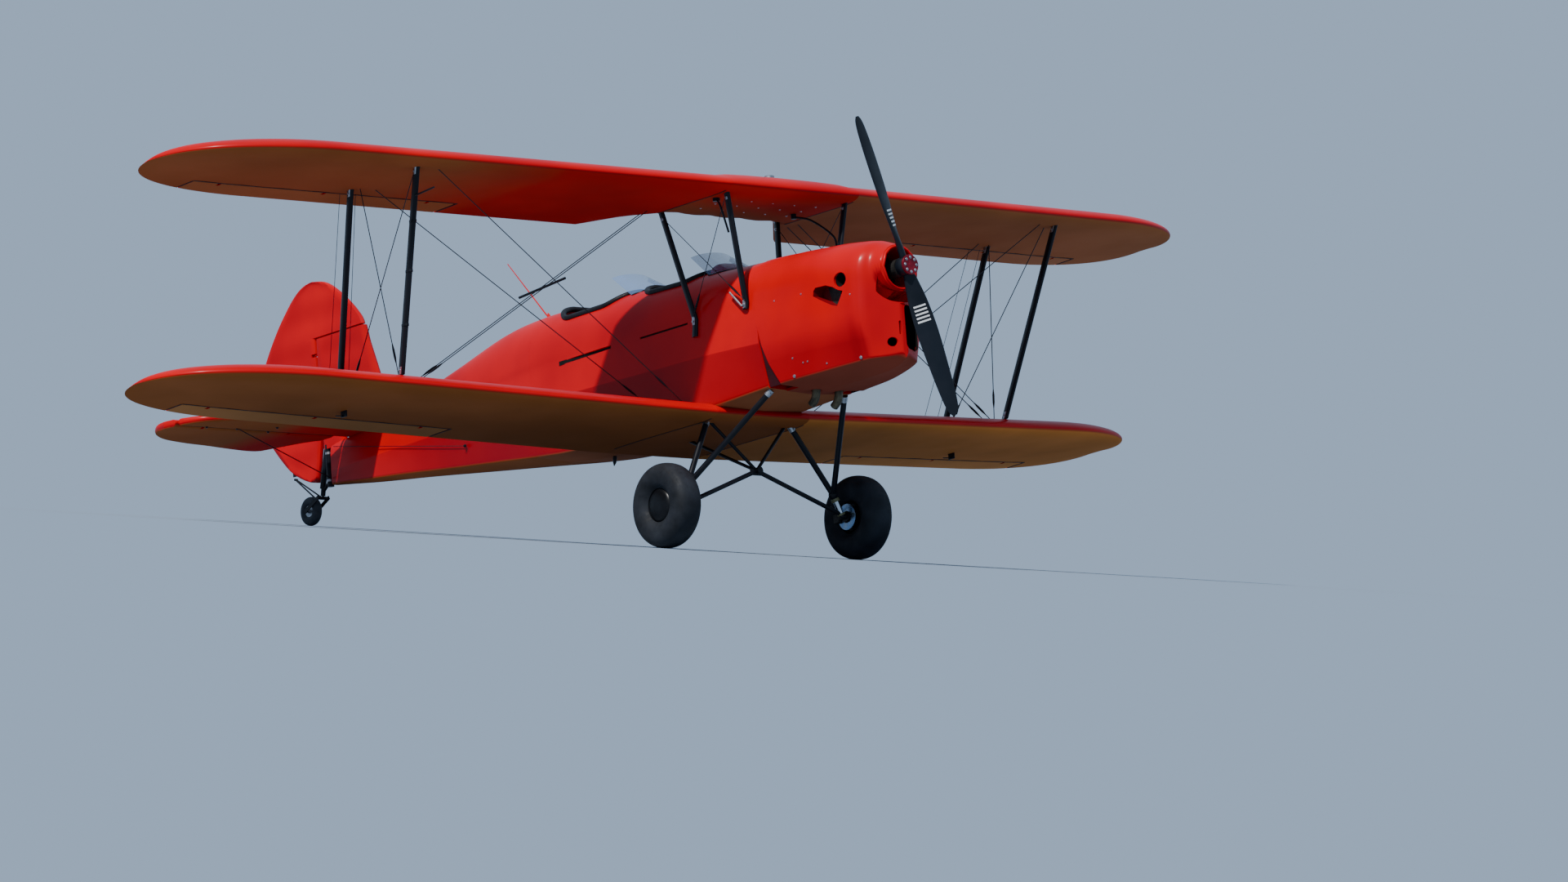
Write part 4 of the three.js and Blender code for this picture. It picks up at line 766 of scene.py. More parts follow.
cowlRows = [
    (0.112, 0.020, -0.545, 0.024, -0.335, 0.024, -0.140, 0.060, 0),
    (0.150, 0.078, -0.562, 0.102, -0.331, 0.098, -0.118, 0.120, 0),
    (0.190, 0.138, -0.572, 0.182, -0.328, 0.172, -0.098, 0.153, 0),
    (0.215, 0.170, -0.576, 0.228, -0.326, 0.215, -0.088, 0.168, 0),
    (0.238, 0.194, -0.579, 0.253, -0.325, 0.239, -0.082, 0.180, 0),
    (0.262, 0.208, -0.582, 0.267, -0.324, 0.252, -0.079, 0.188, 0),
    (0.345, 0.240, -0.590, 0.291, -0.321, 0.275, -0.070, 0.213, 0),
    (0.450, 0.272, -0.597, 0.317, -0.319, 0.299, -0.066, 0.229, 0),
    (0.600, 0.308, -0.606, 0.345, -0.317, 0.324, -0.062, 0.240, 0),
    (0.850, 0.340, -0.612, 0.369, -0.315, 0.346, -0.060, 0.258, 0),
    (1.1047, 0.352, -0.614, 0.380, -0.315, 0.355, -0.060, 0.272, 0.1165),
]


def smoothRows(rows, steps=8):
    # a smooth curve through rows that lie unevenly along their first column
    rows = np.asarray(rows, float)
    gaps = np.diff(rows[:, 0])[:, None]
    slopes = np.diff(rows, axis=0) / gaps
    inner = (gaps[:-1] * slopes[1:] + gaps[1:] * slopes[:-1]) / (gaps[:-1] + gaps[1:])
    tangents = np.vstack([slopes[:1], inner, slopes[-1:]])
    t = np.linspace(0, 1, steps, endpoint=False)[:, None]
    path = [a * (1 + 2 * t) * (1 - t) ** 2 + b * t**2 * (3 - 2 * t)
            + gap * (leave * t * (1 - t) ** 2 - arrive * t**2 * (1 - t))
            for a, b, leave, arrive, gap in zip(rows, rows[1:], tangents, tangents[1:], gaps)]
    return np.vstack(path + [rows[-1:]])


fuselageFine = smoothPath(fuselageRows, 8)
cowlFine = smoothRows(cowlRows, 8)


def softCorners(points, reaches, steps=5):
    # rounds each inner corner with a short curve, and divides the straights between
    points = [np.asarray(p, float) for p in points]
    path = [points[0]]
    t = np.linspace(0, 1, steps)[:, None]
    for before, at, after, reach in zip(points, points[1:], points[2:], reaches):
        back = min(reach, 0.45 * np.linalg.norm(before - at))
        ahead = min(reach, 0.45 * np.linalg.norm(after - at))
        a, b = at + unit(before - at) * back, at + unit(after - at) * ahead
        last = path[-1]
        path += [between(last, a, share) for share in (0.04, 0.28, 0.52, 0.76, 0.96)]
        path += list((1 - t) ** 2 * a + 2 * t * (1 - t) * at + t**2 * b)
    return path


def hullRing(row, inset=0.0):
    y, lowW, lowZ, creaseW, creaseZ, upW, upZ, topZ, lean = row
    angles = np.linspace(0, math.pi / 2, hull["archSteps"] + 1)[1:]
    arch = [((upW - inset) * math.cos(a) ** hull["archPower"] if a < 1.57 else 0.0,
             upZ + (topZ - inset - upZ) * math.sin(a) ** hull["archPower"]) for a in angles]
    keel = np.interp(y, (0.1, 0.3, 0.7, 1.1), hull["keel"])
    keys = [(0, lowZ - hull["bellyDrop"] * lowW - keel + inset), (lowW - inset, lowZ + inset),
            (creaseW - inset, creaseZ), (upW - inset, upZ), arch[0]]
    crease = hull["crease"] if y > 1.1048 else hull["cowlCrease"]
    half = softCorners(keys, (hull["lowCorner"], crease, hull["shoulder"])) + [np.array(p) for p in arch]
    half = np.array(half)
    ring = np.vstack([half, half[-2:0:-1] * (-1, 1)])
    return np.column_stack([ring[:, 0], y + lean * (ring[:, 1] - hull["leanCentre"]), ring[:, 1]])


def hullRow(y):
    return [y] + [readAt(fuselageFine, y, i) for i in range(1, 9)]


def deckHeight(x, y):
    # the height of the fuselage's arched top
    _, _, _, _, _, upW, upZ, topZ, _ = hullRow(y)
    across = min(abs(x) / upW, 1) ** (1 / hull["archPower"])
    return upZ + (topZ - upZ) * (1 - across**2) ** (hull["archPower"] / 2)


def sideAt(y, z):
    # half width of the fuselage's side at a height
    row = hullRow(y)
    return np.interp(z, (row[2], row[4], row[6]), (row[1], row[3], row[5]))


tubEnd = 3.55
tubFine = fuselageFine[fuselageFine[:, 0] <= tubEnd + 1e-6]
tailFine = fuselageFine[fuselageFine[:, 0] >= tubEnd - 1e-6].copy()
tailFine[0, 0] += seam
cockpits = {"front": {"from": 1.81, "to": 2.43, "half": 0.268, "corner": 0.17, "roll": 0.019},
            "rear": {"from": 2.61, "to": 3.33, "half": 0.268, "corner": 0.19, "roll": 0.019}}
sideSlots = [{"from": 2.626, "to": 3.2, "z": -0.04, "tall": 0.024},
             {"from": 1.821, "to": 2.318, "z": -0.045, "tall": 0.014}]


def cockpitOutline(cockpit, steps=9):
    half, corner = cockpit["half"], cockpit["corner"]
    points = []
    for sx, y, start in ((1, cockpit["from"] + corner, -90), (1, cockpit["to"] - corner, 0),
                         (-1, cockpit["to"] - corner, 90), (-1, cockpit["from"] + corner, 180)):
        for angle in np.radians(np.linspace(start, start + 90, steps)):
            points.append((sx * (half - corner) + corner * math.cos(angle), y + corner * math.sin(angle)))
    return points


def opening(cockpit):
    outline = cockpitOutline(cockpit)
    return loft([[(x, y, z) for x, y in outline] for z in (0.0, 0.7)])


def slotCutter(slot, hand):
    x = hand * sideAt((slot["from"] + slot["to"]) / 2, slot["z"])
    low = (x - 0.013, slot["from"], slot["z"] - slot["tall"] / 2)
    high = (x + 0.013, slot["to"], slot["z"] + slot["tall"] / 2)
    return block(low, high, slot["tall"] * 0.3)


tubInside = [hullRing(row, hull["skin"]) for row in tubFine]
tubInside[0] = tubInside[0] + (0, 0.045, 0)
tubInside[-1] = tubInside[-1] - (0, 0.045, 0)
slotCutters = [slotCutter(slot, hand) for slot in sideSlots for _, hand in sides]
tub = carve(loft([hullRing(row) for row in tubFine]), loft(tubInside), *(opening(c) for c in cockpits.values()),
            *slotCutters)


# Painted underside shade only on the belly
def bellyOnly(places):
    return (places[:, 2] < -0.56) * 1.0


# Painted underside shade only along the keel
def keelOnly(places):
    return (places[:, 2] < np.interp(places[:, 1], (3.55, 6.2), (-0.5, -0.22))) * 1.0


# No painted underside shade
def noPaintedShade(places):
    return np.zeros(len(places))


makePiece("fuselageForward", tub, redMetal, ["fuselage_forward"], paintedShadeOf=bellyOnly)
tailSeat = block((-0.4, 5.395, -seam), (0.4, 7.0, 0.6))
makePiece("fuselageAft", carve(loft([hullRing(row) for row in tailFine]), tailSeat), red,
          ["fuselage_aft"], paintedShadeOf=keelOnly)
bellyRows = spanSteps(-wings["lower"]["root"] + seam, wings["lower"]["root"] - seam, 0.06)
makePiece("bellyFairing", loft([wingRing(wings["lower"], x) for x in bellyRows]), red,
          ["belly_fairing"])


def slotLining(slot, hand):
    # a dark block behind a side slot, painting the shade inside it
    x = hand * (sideAt((slot["from"] + slot["to"]) / 2, slot["z"]) - 0.0125)
    half = slot["tall"] / 2 + 0.002
    return block((x - 0.003, slot["from"] - 0.002, slot["z"] - half), (x + 0.003, slot["to"] + 0.002, slot["z"] + half))


makePiece("sideSlotLinings", join(*(slotLining(slot, hand) for slot in sideSlots for _, hand in sides)), shadeBlack)

nose = {"frontY": 0.1, "frontRadius": 0.148, "backY": 0.33, "backRadius": 0.214, "bore": 0.128,
        "blend": 0.03, "boreEnd": 0.30, "skin": 0.016, "flare": 0.010, "proud": 0.004, "hollow": 0.13,
        "hollowRadius": 0.2265, "hollowTurn": 1.7}
nose["taper"] = (nose["backRadius"] - nose["frontRadius"]) / (nose["backY"] - nose["frontY"])


def smoothMax(a, b, width):
    return (a + b + np.sqrt((a - b) ** 2 + width**2)) / 2


def cowlRing(row, inset=0.0):
    # a hull ring, pushed out to the round snout near the propeller and flared at its lower rear
    ring = hullRing(row, inset)
    y = row[0]
    reach = np.hypot(ring[:, 0], ring[:, 2])
    snout = nose["frontRadius"] + nose["taper"] * (y - nose["frontY"]) - inset
    if y < nose["backY"] + 0.12:
        fade = np.clip((nose["backY"] + 0.12 - y) / 0.20, 0, 1)
        fade = fade * fade * (3 - 2 * fade)
        pushed = smoothMax(reach, snout, nose["blend"] * fade)
        scale = (reach + (pushed - reach) * fade) / reach
        ring[:, 0] *= scale
        ring[:, 2] *= scale
    flare = nose["flare"] * np.clip((y - 0.75) / 0.35, 0, 1) ** 2
    low = np.clip((-0.1 - ring[:, 2]) / 0.4, 0, 1)
    ring[:, 0] += np.sign(ring[:, 0]) * flare * low * (np.abs(ring[:, 0]) > 0.25)
    proud = 1 + nose["proud"] * np.clip((y - 0.9) / 0.1, 0, 1) / np.hypot(ring[:, 0], ring[:, 2])
    ring[:, 0] *= proud
    ring[:, 2] *= proud
    return ring


def roundRing(y, radius, like):
    # a circle about the thrust line, with its points on the same bearings as another ring's
    reach = np.hypot(like[:, 0], like[:, 2])
    return np.column_stack([like[:, 0] / reach * radius, np.full(len(like), y), like[:, 2] / reach * radius])


def chinHollow(grown=0.0):
    # the hollow between the round snout and the chin, shallower towards the sides
    rings, furthest = [], nose["hollowTurn"]
    for turn in np.linspace(-furthest, furthest, 60):
        share = np.clip((furthest - abs(turn)) / 1.2, 0.001, 1)
        depth = nose["hollow"] * share + grown
        y, inner = nose["frontY"], nose["frontRadius"] + 0.001 - grown
        outer = inner + 0.012 + (nose["hollowRadius"] - inner - 0.012) * min(1, 1.6 * share) + 2 * grown
        profile = [(-0.05, inner), (y, inner), (y + depth, inner + nose["taper"] * depth),
                   (y + 0.8 * depth, outer - 0.012), (y + 0.3 * depth, outer - 0.002), (-0.05, outer)]
        rings.append([(r * math.sin(turn), along, -r * math.cos(turn)) for along, r in profile])
    return loft(rings)


def noseSolid(inset):
    # the cowl's outside as one closed body
    rings = [cowlRing(row, inset) for row in cowlFine]
    return loft([roundRing(nose["frontY"] + inset, nose["frontRadius"] - 0.01, rings[0]), *rings])


intake = {"low": (0.01, 0.05, -0.52), "high": (0.15, 0.3, -0.235), "corner": 0.03}
sideHole = {"y": 0.374, "z": -0.042, "radius": 0.047, "depth": 0.11}
oilHole = {"x": -0.078, "z": -0.478, "radius": 0.03}
noseSlot = {"x": -0.03, "low": -0.432, "high": -0.344, "half": 0.006}
exhausts = [{"x": -0.05, "y": 0.96}, {"x": 0.15, "y": 0.975}]
cheek = {"outline": [(0.353, -0.118), (0.375, -0.165), (0.400, -0.212), (0.443, -0.198), (0.493, -0.172),
                     (0.553, -0.138), (0.600, -0.110), (0.595, -0.075), (0.578, -0.056), (0.490, -0.056),
                     (0.432, -0.078), (0.392, -0.104)],
         "depth": 0.09, "sheet": 0.97}
gill = {"outline": [(1.116, -0.205), (1.078, -0.340), (1.028, -0.470), (0.956, -0.600), (0.944, -0.68), (1.20, -0.68),
                    (1.20, -0.205)], "inset": 0.009}


def cowlSideAt(y, z):
    row = [readAt(cowlFine, y, i) for i in range(1, 7)]
    return np.interp(z, (row[1], row[3], row[5]), (row[0], row[2], row[4]))


def cheekDuct(outer, inner, scale, hand):
    # the outlet below the side hole, from one depth in the skin to another; scale draws its outline in
    outline = np.array(cheek["outline"])
    middle = outline.mean(0)
    outline = middle + (outline - middle) * scale
    return loft([[(hand * (cowlSideAt(y, z) - depth), y, z) for y, z in outline] for depth in (outer, inner)])


def gillCut(hand):
    return loft([[(hand * x, y, z) for y, z in gill["outline"]] for x in (0.2, 0.5)])


def cowlShape():
    outer = [cowlRing(row) for row in cowlFine]
    inner = [cowlRing(row, nose["skin"]) for row in cowlFine[4:]]
    first = outer[0]
    front = []
    half = (nose["frontRadius"] - nose["bore"]) / 2
    for angle in np.linspace(0, math.pi, 9):
        y = nose["frontY"] + half * (1 - math.sin(angle))
        front.append(roundRing(y, nose["bore"] + half * (1 + math.cos(angle)), first))
    throat = [roundRing(y, nose["bore"], first) for y in (0.16, 0.24, nose["boreEnd"])]
    throat.append(roundRing(nose["boreEnd"], nose["bore"] + 0.012, first))
    rings = outer[::-1] + front + throat + inner
    shell = loft(rings, ends=False, wrap=True)
    port = block(intake["low"], intake["high"], intake["corner"], 4)
    side = rod((-0.5, sideHole["y"], sideHole["z"]), (-0.2, sideHole["y"], sideHole["z"]), sideHole["radius"], 40)
    oil = rod((oilHole["x"], 0, oilHole["z"]), (oilHole["x"], 0.3, oilHole["z"]), oilHole["radius"], 28)
    slit = block((noseSlot["x"] - noseSlot["half"], 0, noseSlot["low"]),
                 (noseSlot["x"] + noseSlot["half"], 0.3, noseSlot["high"]), 0.004)
    outlets = [rod((e["x"], e["y"], -0.8), (e["x"], e["y"], -0.5), 0.034, 24) for e in exhausts]
    cheeks = [cheekDuct(-0.1, 0.06, cheek["sheet"], hand) for _, hand in sides]
    gills = [gillCut(hand) for _, hand in sides]
    return carve(shell, chinHollow(), port, side, oil, slit, *cheeks, *gills, *outlets)


makePiece("engineCowl", cowlShape(), cowlRed, ["engine_cowl"], paintedShadeOf=bellyOnly)
# The outlets' pans are a dull red, darker to paint the shade inside them
pans = [carve(cheekDuct(0.004, cheek["depth"], 1.02, hand), cheekDuct(-0.1, cheek["depth"] - 0.003, 0.965, hand))
        for _, hand in sides]
makePiece("cheekDucts", join(*pans), shadedOutletRed)
# A matt black liner in the air intake, painting the shade inside it
ductLow, ductHigh = np.array(intake["low"]), np.array(intake["high"])
duct = carve(block(ductLow + (-0.004, 0.1, -0.004), ductHigh + (0.004, -0.01, 0.004), intake["corner"], 4),
             block(ductLow, ductHigh + (0, 0.1, 0), intake["corner"] * 0.9, 4))
makePiece("intakeDuct", duct, shadeBlack)


def gillBack(hand):
    # the dark sheet behind a gill, along the leaning end of the cowl: sooty red enamel with painted shadow
    rings = []
    for z in np.linspace(-0.20, -0.61, 8):
        end = 1.118 + hull["lean"] * (z + 0.2)
        rings.append([(hand * (cowlSideAt(y, z) - gill["inset"] - deep), y, z)
                      for y, deep in ((0.92, 0), (end, 0), (end, 0.004), (0.92, 0.004))])
    return loft(rings)


makePiece("gillBacks", join(*(gillBack(hand) for _, hand in sides)), shadowAndSootRed)
# A matt black tube lining the side hole paints the shade inside it; the pipe in it is zinc
mouth = vec(0.010 - cowlSideAt(sideHole["y"], sideHole["z"]), sideHole["y"], sideHole["z"])
deep = sideHole["depth"]
tube = lathe([(0, 0.0465), (deep, 0.0465), (deep, 0), (deep - 0.004, 0), (deep - 0.004, 0.043), (0, 0.043)],
             mouth, (1, 0, 0), 40)
makePiece("sideHoleTube", tube, shadeBlack)
makePiece("sideHolePipe", rod(mouth + (0.05, -0.012, -0.01), mouth + (0.107, -0.012, -0.01), 0.016, 20), zinc)
pan = carve(carve(chinHollow(0.003), chinHollow()), noseSolid(0.003), operation="INTERSECT")
makePiece("chinHollowPan", pan, redMetal, paintedShadeOf=bellyOnly)

# Fasteners of the cowl, in the photo's places on the right and mirrored on the left.
fasteners = {
    "cowlLatches": {"lift": 0.002, "lean": -0.1, "radius": 0.0085, "height": 0.008,
                    "spots": [(0.821, -0.586), (0.290, -0.560)]},
    "cowlScrews": {"lift": 0.001, "lean": 0, "radius": 0.0045, "height": 0.004,
                   "spots": [(0.815, -0.471), (0.729, -0.515), (0.690, -0.515), (0.540, -0.555), (0.300, -0.151),
                             (0.700, -0.075), (0.950, -0.070)]},
}
for name, row in fasteners.items():
    spots = [((hand * (cowlSideAt(y, z) + row["lift"]), y, z), (hand, -0.05, row["lean"]))
             for _, hand in sides for y, z in row["spots"]]
    scatter(name, screwTree, spots, zinc, "bracing_wire", Radius=row["radius"], Height=row["height"])

# Exhaust stubs: sleeves over the engine's pipes, curved aft at their open ends.
stubs, plugs = [], []
for e in exhausts:
    line = smoothPath([(e["x"], e["y"], -0.60), (e["x"], e["y"] + 0.001, -0.645), (e["x"], e["y"] + 0.020, -0.690),
                       (e["x"], e["y"] + 0.056, -0.716)], 6)
    ahead = line[-1] + unit(line[-1] - line[-2]) * 0.02
    stubs.append(carve(sweep(line, 0.0272, 24), sweep([line[-6], line[-3], ahead], 0.0228, 24)))
    plugs.append(rod(line[-7], line[-5], 0.0225, 20))
makePiece("exhaustStubs", join(*stubs), burntSteel)
# Matt black plugs in the stubs' bores: sooty, with painted shade
makePiece("exhaustBores", join(*plugs), shadeBlack)
print("body made")

# Propeller. Columns: radius, chord, thickness, pitch in degrees.
propeller = {"lean": math.atan2(-0.31, 0.95), "planeY": 0.047, "sides": 28}
bladeRows = smoothPath([
    (0.040, 0.070, 0.046, 50), (0.130, 0.096, 0.040, 44), (0.260, 0.128, 0.028, 34), (0.450, 0.146, 0.019, 25),
    (0.700, 0.132, 0.013, 18), (0.880, 0.108, 0.010, 15), (0.965, 0.078, 0.008, 14), (1.000, 0.034, 0.006, 14)], 6)
bars = {"radii": (0.27, 0.295, 0.32, 0.345, 0.37), "length": 0.62, "width": 0.011, "lift": 0.0007}


def onBlade(row, across, deep):
    # a point of a blade's section, leant and twisted; both shares run from -1 to 1
    radius, chord, thickness, pitch = row
    twist = math.radians(pitch)
    a, d = 0.5 * chord * across, 0.5 * thickness * deep
    x, y, z = a * math.cos(twist) - d * math.sin(twist), a * math.sin(twist) + d * math.cos(twist), radius
    lean = propeller["lean"]
    return vec(x * math.cos(lean) + z * math.sin(lean), propeller["planeY"] + y,
               z * math.cos(lean) - x * math.sin(lean))


def otherBlade(shape):
    return shape[0] * (-1, 1, -1), shape[1]


def bladeShape():
    turn = np.linspace(0, 2 * math.pi, propeller["sides"], endpoint=False)
    return loft([[onBlade(row, math.cos(a), math.sin(a) * (1 - 0.25 * math.cos(a))) for a in turn]
                 for row in bladeRows])


def barShape(radius):
    # one bar on the blade's front face
    row = [readAt(bladeRows, radius, i) for i in range(4)]
    rings = []
    for across in np.linspace(-bars["length"], bars["length"], 9):
        deep = -math.sqrt(1 - across**2) * (1 - 0.25 * across)
        lift = bars["lift"] / (0.5 * row[2])
        ring = []
        for step, rise in ((-0.5, 0), (-0.5, 1), (0.5, 1), (0.5, 0)):
            at = [radius + step * bars["width"], row[1], row[2], row[3]]
            ring.append(onBlade(at, across, deep * 0.985 - rise * (lift + 0.03)))
        rings.append(ring)
    return loft(rings)


blade = bladeShape()
hubBody = lathe([(0.0143, 0), (0.0143, 0.060), (0.0163, 0.062), (0.082, 0.062), (0.084, 0.060), (0.084, 0.031),
                 (0.189, 0.030), (0.190, 0)], vec(0, 0, 0), (0, 1, 0))
makePiece("propellerBlades", join(blade, otherBlade(blade), hubBody), bladeBlack,
          ["propeller_blades"], "propeller", crease=50)
barSet = join(*(barShape(radius) for radius in bars["radii"]))
makePiece("propellerBars", join(barSet, otherBlade(barSet)), whiteLacquer, body="propeller")
plateShape = lathe([(0.014, 0), (0.014, 0.065), (0.002, 0.065), (0.0003, 0.0632), (0.0003, 0.030), (0.0018, 0.028),
                    (0.0018, 0.012), (0.0003, 0.010), (0.0003, 0)], vec(0, 0, 0), (0, 1, 0), 72)
makePiece("propellerHubPlate", plateShape, hubRed, ["propeller_hub_plate"], "propeller")
boltRing = [(vec(0.047 * math.cos(a), 0.0003, 0.047 * math.sin(a)), (0, -1, 0))
            for a in np.linspace(0, 2 * math.pi, 8, endpoint=False)]
scatter("propellerBolts", screwTree, boltRing, zinc, "hub_plate_red", "propeller", Radius=0.0075, Height=0.006)

# Struts.
strutStation = {"upper": 2.69, "lower": 2.53}
strutRows = [{"name": "front", "upperU": 0.112, "lowerU": 0.15}, {"name": "rear", "upperU": 0.697, "lowerU": 0.7}]
strutSection = {"chord": 0.062, "thickness": 0.027, "fitting": 0.05}
cabaneSection = {"chord": 0.052, "thickness": 0.026, "fitting": 0.018}
cabaneRows = [
    {"name": "front", "path": [(0.372, 1.222, -0.070), (0.366, 1.217, -0.030), (0.503, 1.166, 0.720)]},
    {"name": "rear", "path": [(0.378, 1.740, -0.150), (0.369, 1.733, -0.040), (0.492, 1.858, 0.720)]},
]


def strutShape(path, chord, thickness, sides=28):
    # streamlined: round in front, drawn out behind
    turn = np.linspace(0, 2 * math.pi, sides, endpoint=False)
    rings = []
    for x, y, z in path:
        across = 0.5 * thickness * np.cos(turn) * (1 - 0.35 * np.sin(turn))
        rings.append(np.column_stack([x + across, y + 0.5 * chord * np.sin(turn), np.full(sides, z)]))
    return loft(rings)


def strutEnds(row):
    a = onWing(wings["lower"], strutStation["lower"], row["lowerU"])
    b = onWing(wings["upper"], strutStation["upper"], row["upperU"])
    low = onWing(wings["lower"], strutStation["lower"], row["lowerU"], "top")[2]
    high = onWing(wings["upper"], strutStation["upper"], row["upperU"], "bottom")[2]
    span = b[2] - a[2]
    return between(a, b, (low - 0.004 - a[2]) / span), between(a, b, (high + 0.004 - a[2]) / span)


def strutFittings(low, high, chord, thickness, reach):
    # a folded steel cap on each end, with its bolt
    parts = []
    for end, other in ((low, high), (high, low)):
        inner = end + unit(other - end) * reach
        middle = end + unit(other - end) * reach * 0.6
        parts.append(strutShape([end, inner], chord * 0.72, thickness * 1.16, 20))
        parts.append(rod(middle - (0.021, 0, 0), middle + (0.021, 0, 0), 0.006, 12))
    return join(*parts)


for row in strutRows:
    low, high = strutEnds(row)
    body = strutShape([low, high], strutSection["chord"], strutSection["thickness"])
    ends = strutFittings(low, high, strutSection["chord"], strutSection["thickness"], strutSection["fitting"])
    makePair(f"interplaneStrut_{row['name']}", body, black, f"interplane_strut_{row['name']}")
    makePair(f"interplaneStrutFittings_{row['name']}", ends, zinc)
for row in cabaneRows:
    path = [np.array(p) for p in row["path"]]
    knee = [path[0], between(path[0], path[1], 0.5), path[1], between(path[1], path[2], 0.06), path[2]]
    body = strutShape(knee, cabaneSection["chord"], cabaneSection["thickness"])
    foot = join(block(path[1] + (0.004, -0.012, -0.035), path[1] + (0.019, 0.012, 0.022), 0.004),
                rod(path[1] + (0.0, 0.0, -0.012), path[1] + (0.026, 0.0, -0.012), 0.008, 12))
    up = unit(path[2] - path[1])
    head = strutFittings(path[2] - up * 0.09, path[2] - up * 0.02, cabaneSection["chord"],
                         cabaneSection["thickness"], cabaneSection["fitting"])
    makePair(f"cabaneStrut_{row['name']}", body, black, f"cabane_{row['name']}")
    makePair(f"cabaneFittings_{row['name']}", join(foot, head), zinc)
print("struts made")

# Landing gear.
gear = {"frontTop": vec(0.307, 1.101, -0.622), "rearTop": vec(0.345, 1.719, -0.699),
        "elbow": vec(0.612, 1.650, -1.158), "axleInner": vec(0.668, 1.641, -1.300), "apex": vec(0, 1.675, -1.025),
        "braceTop": vec(0.325, 1.735, -0.695), "braceAft": vec(0, 2.340, -0.700), "leg": 0.019, "stub": 0.021,
        "axle": 0.018, "brace": 0.011, "halfAxle": 0.015, "sleeve": 0.0225}
wheel = {"x": 0.801, "y": 1.641, "z": -1.300, "radius": 0.275, "width": 0.2}
tailWheel = {"x": 0.0, "y": 6.451, "z": -0.420, "radius": 0.1, "width": 0.062}


def legShape():
    elbow, inner = gear["elbow"], gear["axleInner"]
    axleEnd = vec(wheel["x"] + 0.06, wheel["y"], wheel["z"])
    bend = smoothPath([elbow + (inner - elbow) * 0.75, inner + (-0.004, 0, 0.02), inner + (0.02, 0, 0), axleEnd], 6)
    knuckle = lathe([(-0.03, 0), (-0.026, 0.018), (-0.012, 0.029), (0.012, 0.029), (0.026, 0.018), (0.03, 0)],
                    elbow, (0, 1, 0), 28)
    return join(rod(elbow, gear["frontTop"], gear["leg"], 24), rod(elbow, gear["rearTop"], gear["leg"], 24),
                rod(elbow, elbow + (inner - elbow) * 0.8, gear["stub"], 24), sweep(bend, gear["axle"], 20), knuckle)


def onStub(start, end, radius):
    # a sleeve on the stub tube between the elbow and the axle
    return rod(*(between(gear["elbow"], gear["axleInner"], share) for share in (start, end)), radius, 24)


leg = legShape()
sleeve = onStub(0.3, 0.86, gear["sleeve"])
collar = join(onStub(0.17, 0.31, 0.028), onStub(0.84, 0.93, 0.027))
legTops = []
for name in ("frontTop", "rearTop"):
    top = gear[name]
    down = unit(gear["elbow"] - top)
    legTops.append(rod(top, top + down * 0.045, 0.0215, 20))
    legTops.append(rod(top + down * 0.03 - (0, 0.027, 0), top + down * 0.03 + (0, 0.027, 0), 0.007, 12))
inner = gear["axleInner"] + (-0.02, 0, 0.018)
veeArms = [(inner, gear["halfAxle"]), (gear["braceTop"], gear["brace"])]
vee = [rod(gear["apex"], gear["braceAft"], gear["brace"], 20)]
for end, radius in veeArms:
    vee += [rod(gear["apex"], end, radius, 20), rod(gear["apex"], end * (-1, 1, 1), radius, 20)]
vee.append(lathe([(-0.045, 0), (-0.04, 0.022), (0.04, 0.022), (0.045, 0)], gear["apex"], (0, 1, 0), 24))
vee.append(block(gear["apex"] - (0.05, 0.012, 0.03), gear["apex"] + (0.05, 0.012, 0.012), 0.006))
makePiece("gearVee", join(*vee), black, ["gear_vee"])
makePair("gearLeg", leg, black, "gear_leg")
makePair("gearLegSleeve", sleeve, chrome)
makePair("gearLegFittings", join(*legTops), zinc)
makePair("gearLegCollars", collar, olive)


def tyreShape(w, steps):
    # a fat low-pressure tyre: a round crown, plain shoulders and a bead at the rim
    profile = [(0.4, -0.33), (0.5, -0.44), (0.62, -0.497), (0.74, -0.5), (0.84, -0.46), (0.925, -0.37),
               (0.975, -0.25), (0.997, -0.1), (1.0, 0.0)]
    half = smoothPath(profile, 4)
    whole = np.vstack([half, half[-2::-1] * (1, -1)])
    rows = [(x * w["width"], r * w["radius"]) for r, x in whole]
    return lathe(rows, vec(w["x"], w["y"], w["z"]), (1, 0, 0), steps)


centre = vec(wheel["x"], wheel["y"], wheel["z"])
hubProfile = [(0.080, 0), (0.081, 0.030), (0.079, 0.058), (0.074, 0.088), (0.070, 0.097), (0.064, 0.104),
              (0.058, 0.1095), (-0.058, 0.1095), (-0.062, 0.100), (-0.054, 0.086), (-0.058, 0.044),
              (-0.089, 0.043), (-0.089, 0.040), (-0.096, 0.040), (-0.096, 0.034), (-0.110, 0.034), (-0.110, 0.0186),
              (0.064, 0.0186), (0.064, 0)]
discProfile = [(-0.096, 0.040), (-0.096, 0.085), (-0.095, 0.086), (-0.090, 0.086), (-0.089, 0.085), (-0.089, 0.040)]
makePair("mainTyre", tyreShape(wheel, 96), rubber, "main_tyre", "wheel_{}")
makePair("mainHub", lathe(hubProfile, centre, (1, 0, 0), 72), capBlack, "main_hub", "wheel_{}")
makePair("brakeDisc", lathe(discProfile, centre, (1, 0, 0), 72), discSteel, body="wheel_{}")
makePiece("tailTyre", tyreShape(tailWheel, 64), dustyRubber, ["tailwheel_tyre"], "tail_wheel")
tailHub = lathe([(-0.034, 0.0086), (-0.034, 0.014), (-0.022, 0.014), (-0.019, 0.030), (-0.020, 0.0397), (0.020, 0.0397),
                 (0.019, 0.030), (0.022, 0.014), (0.034, 0.014), (0.034, 0.0086)],
                vec(tailWheel["x"], tailWheel["y"], tailWheel["z"]), (1, 0, 0), 48)
makePiece("tailHub", tailHub, zinc, ["tailwheel_hub"], "tail_wheel")
print("gear made")

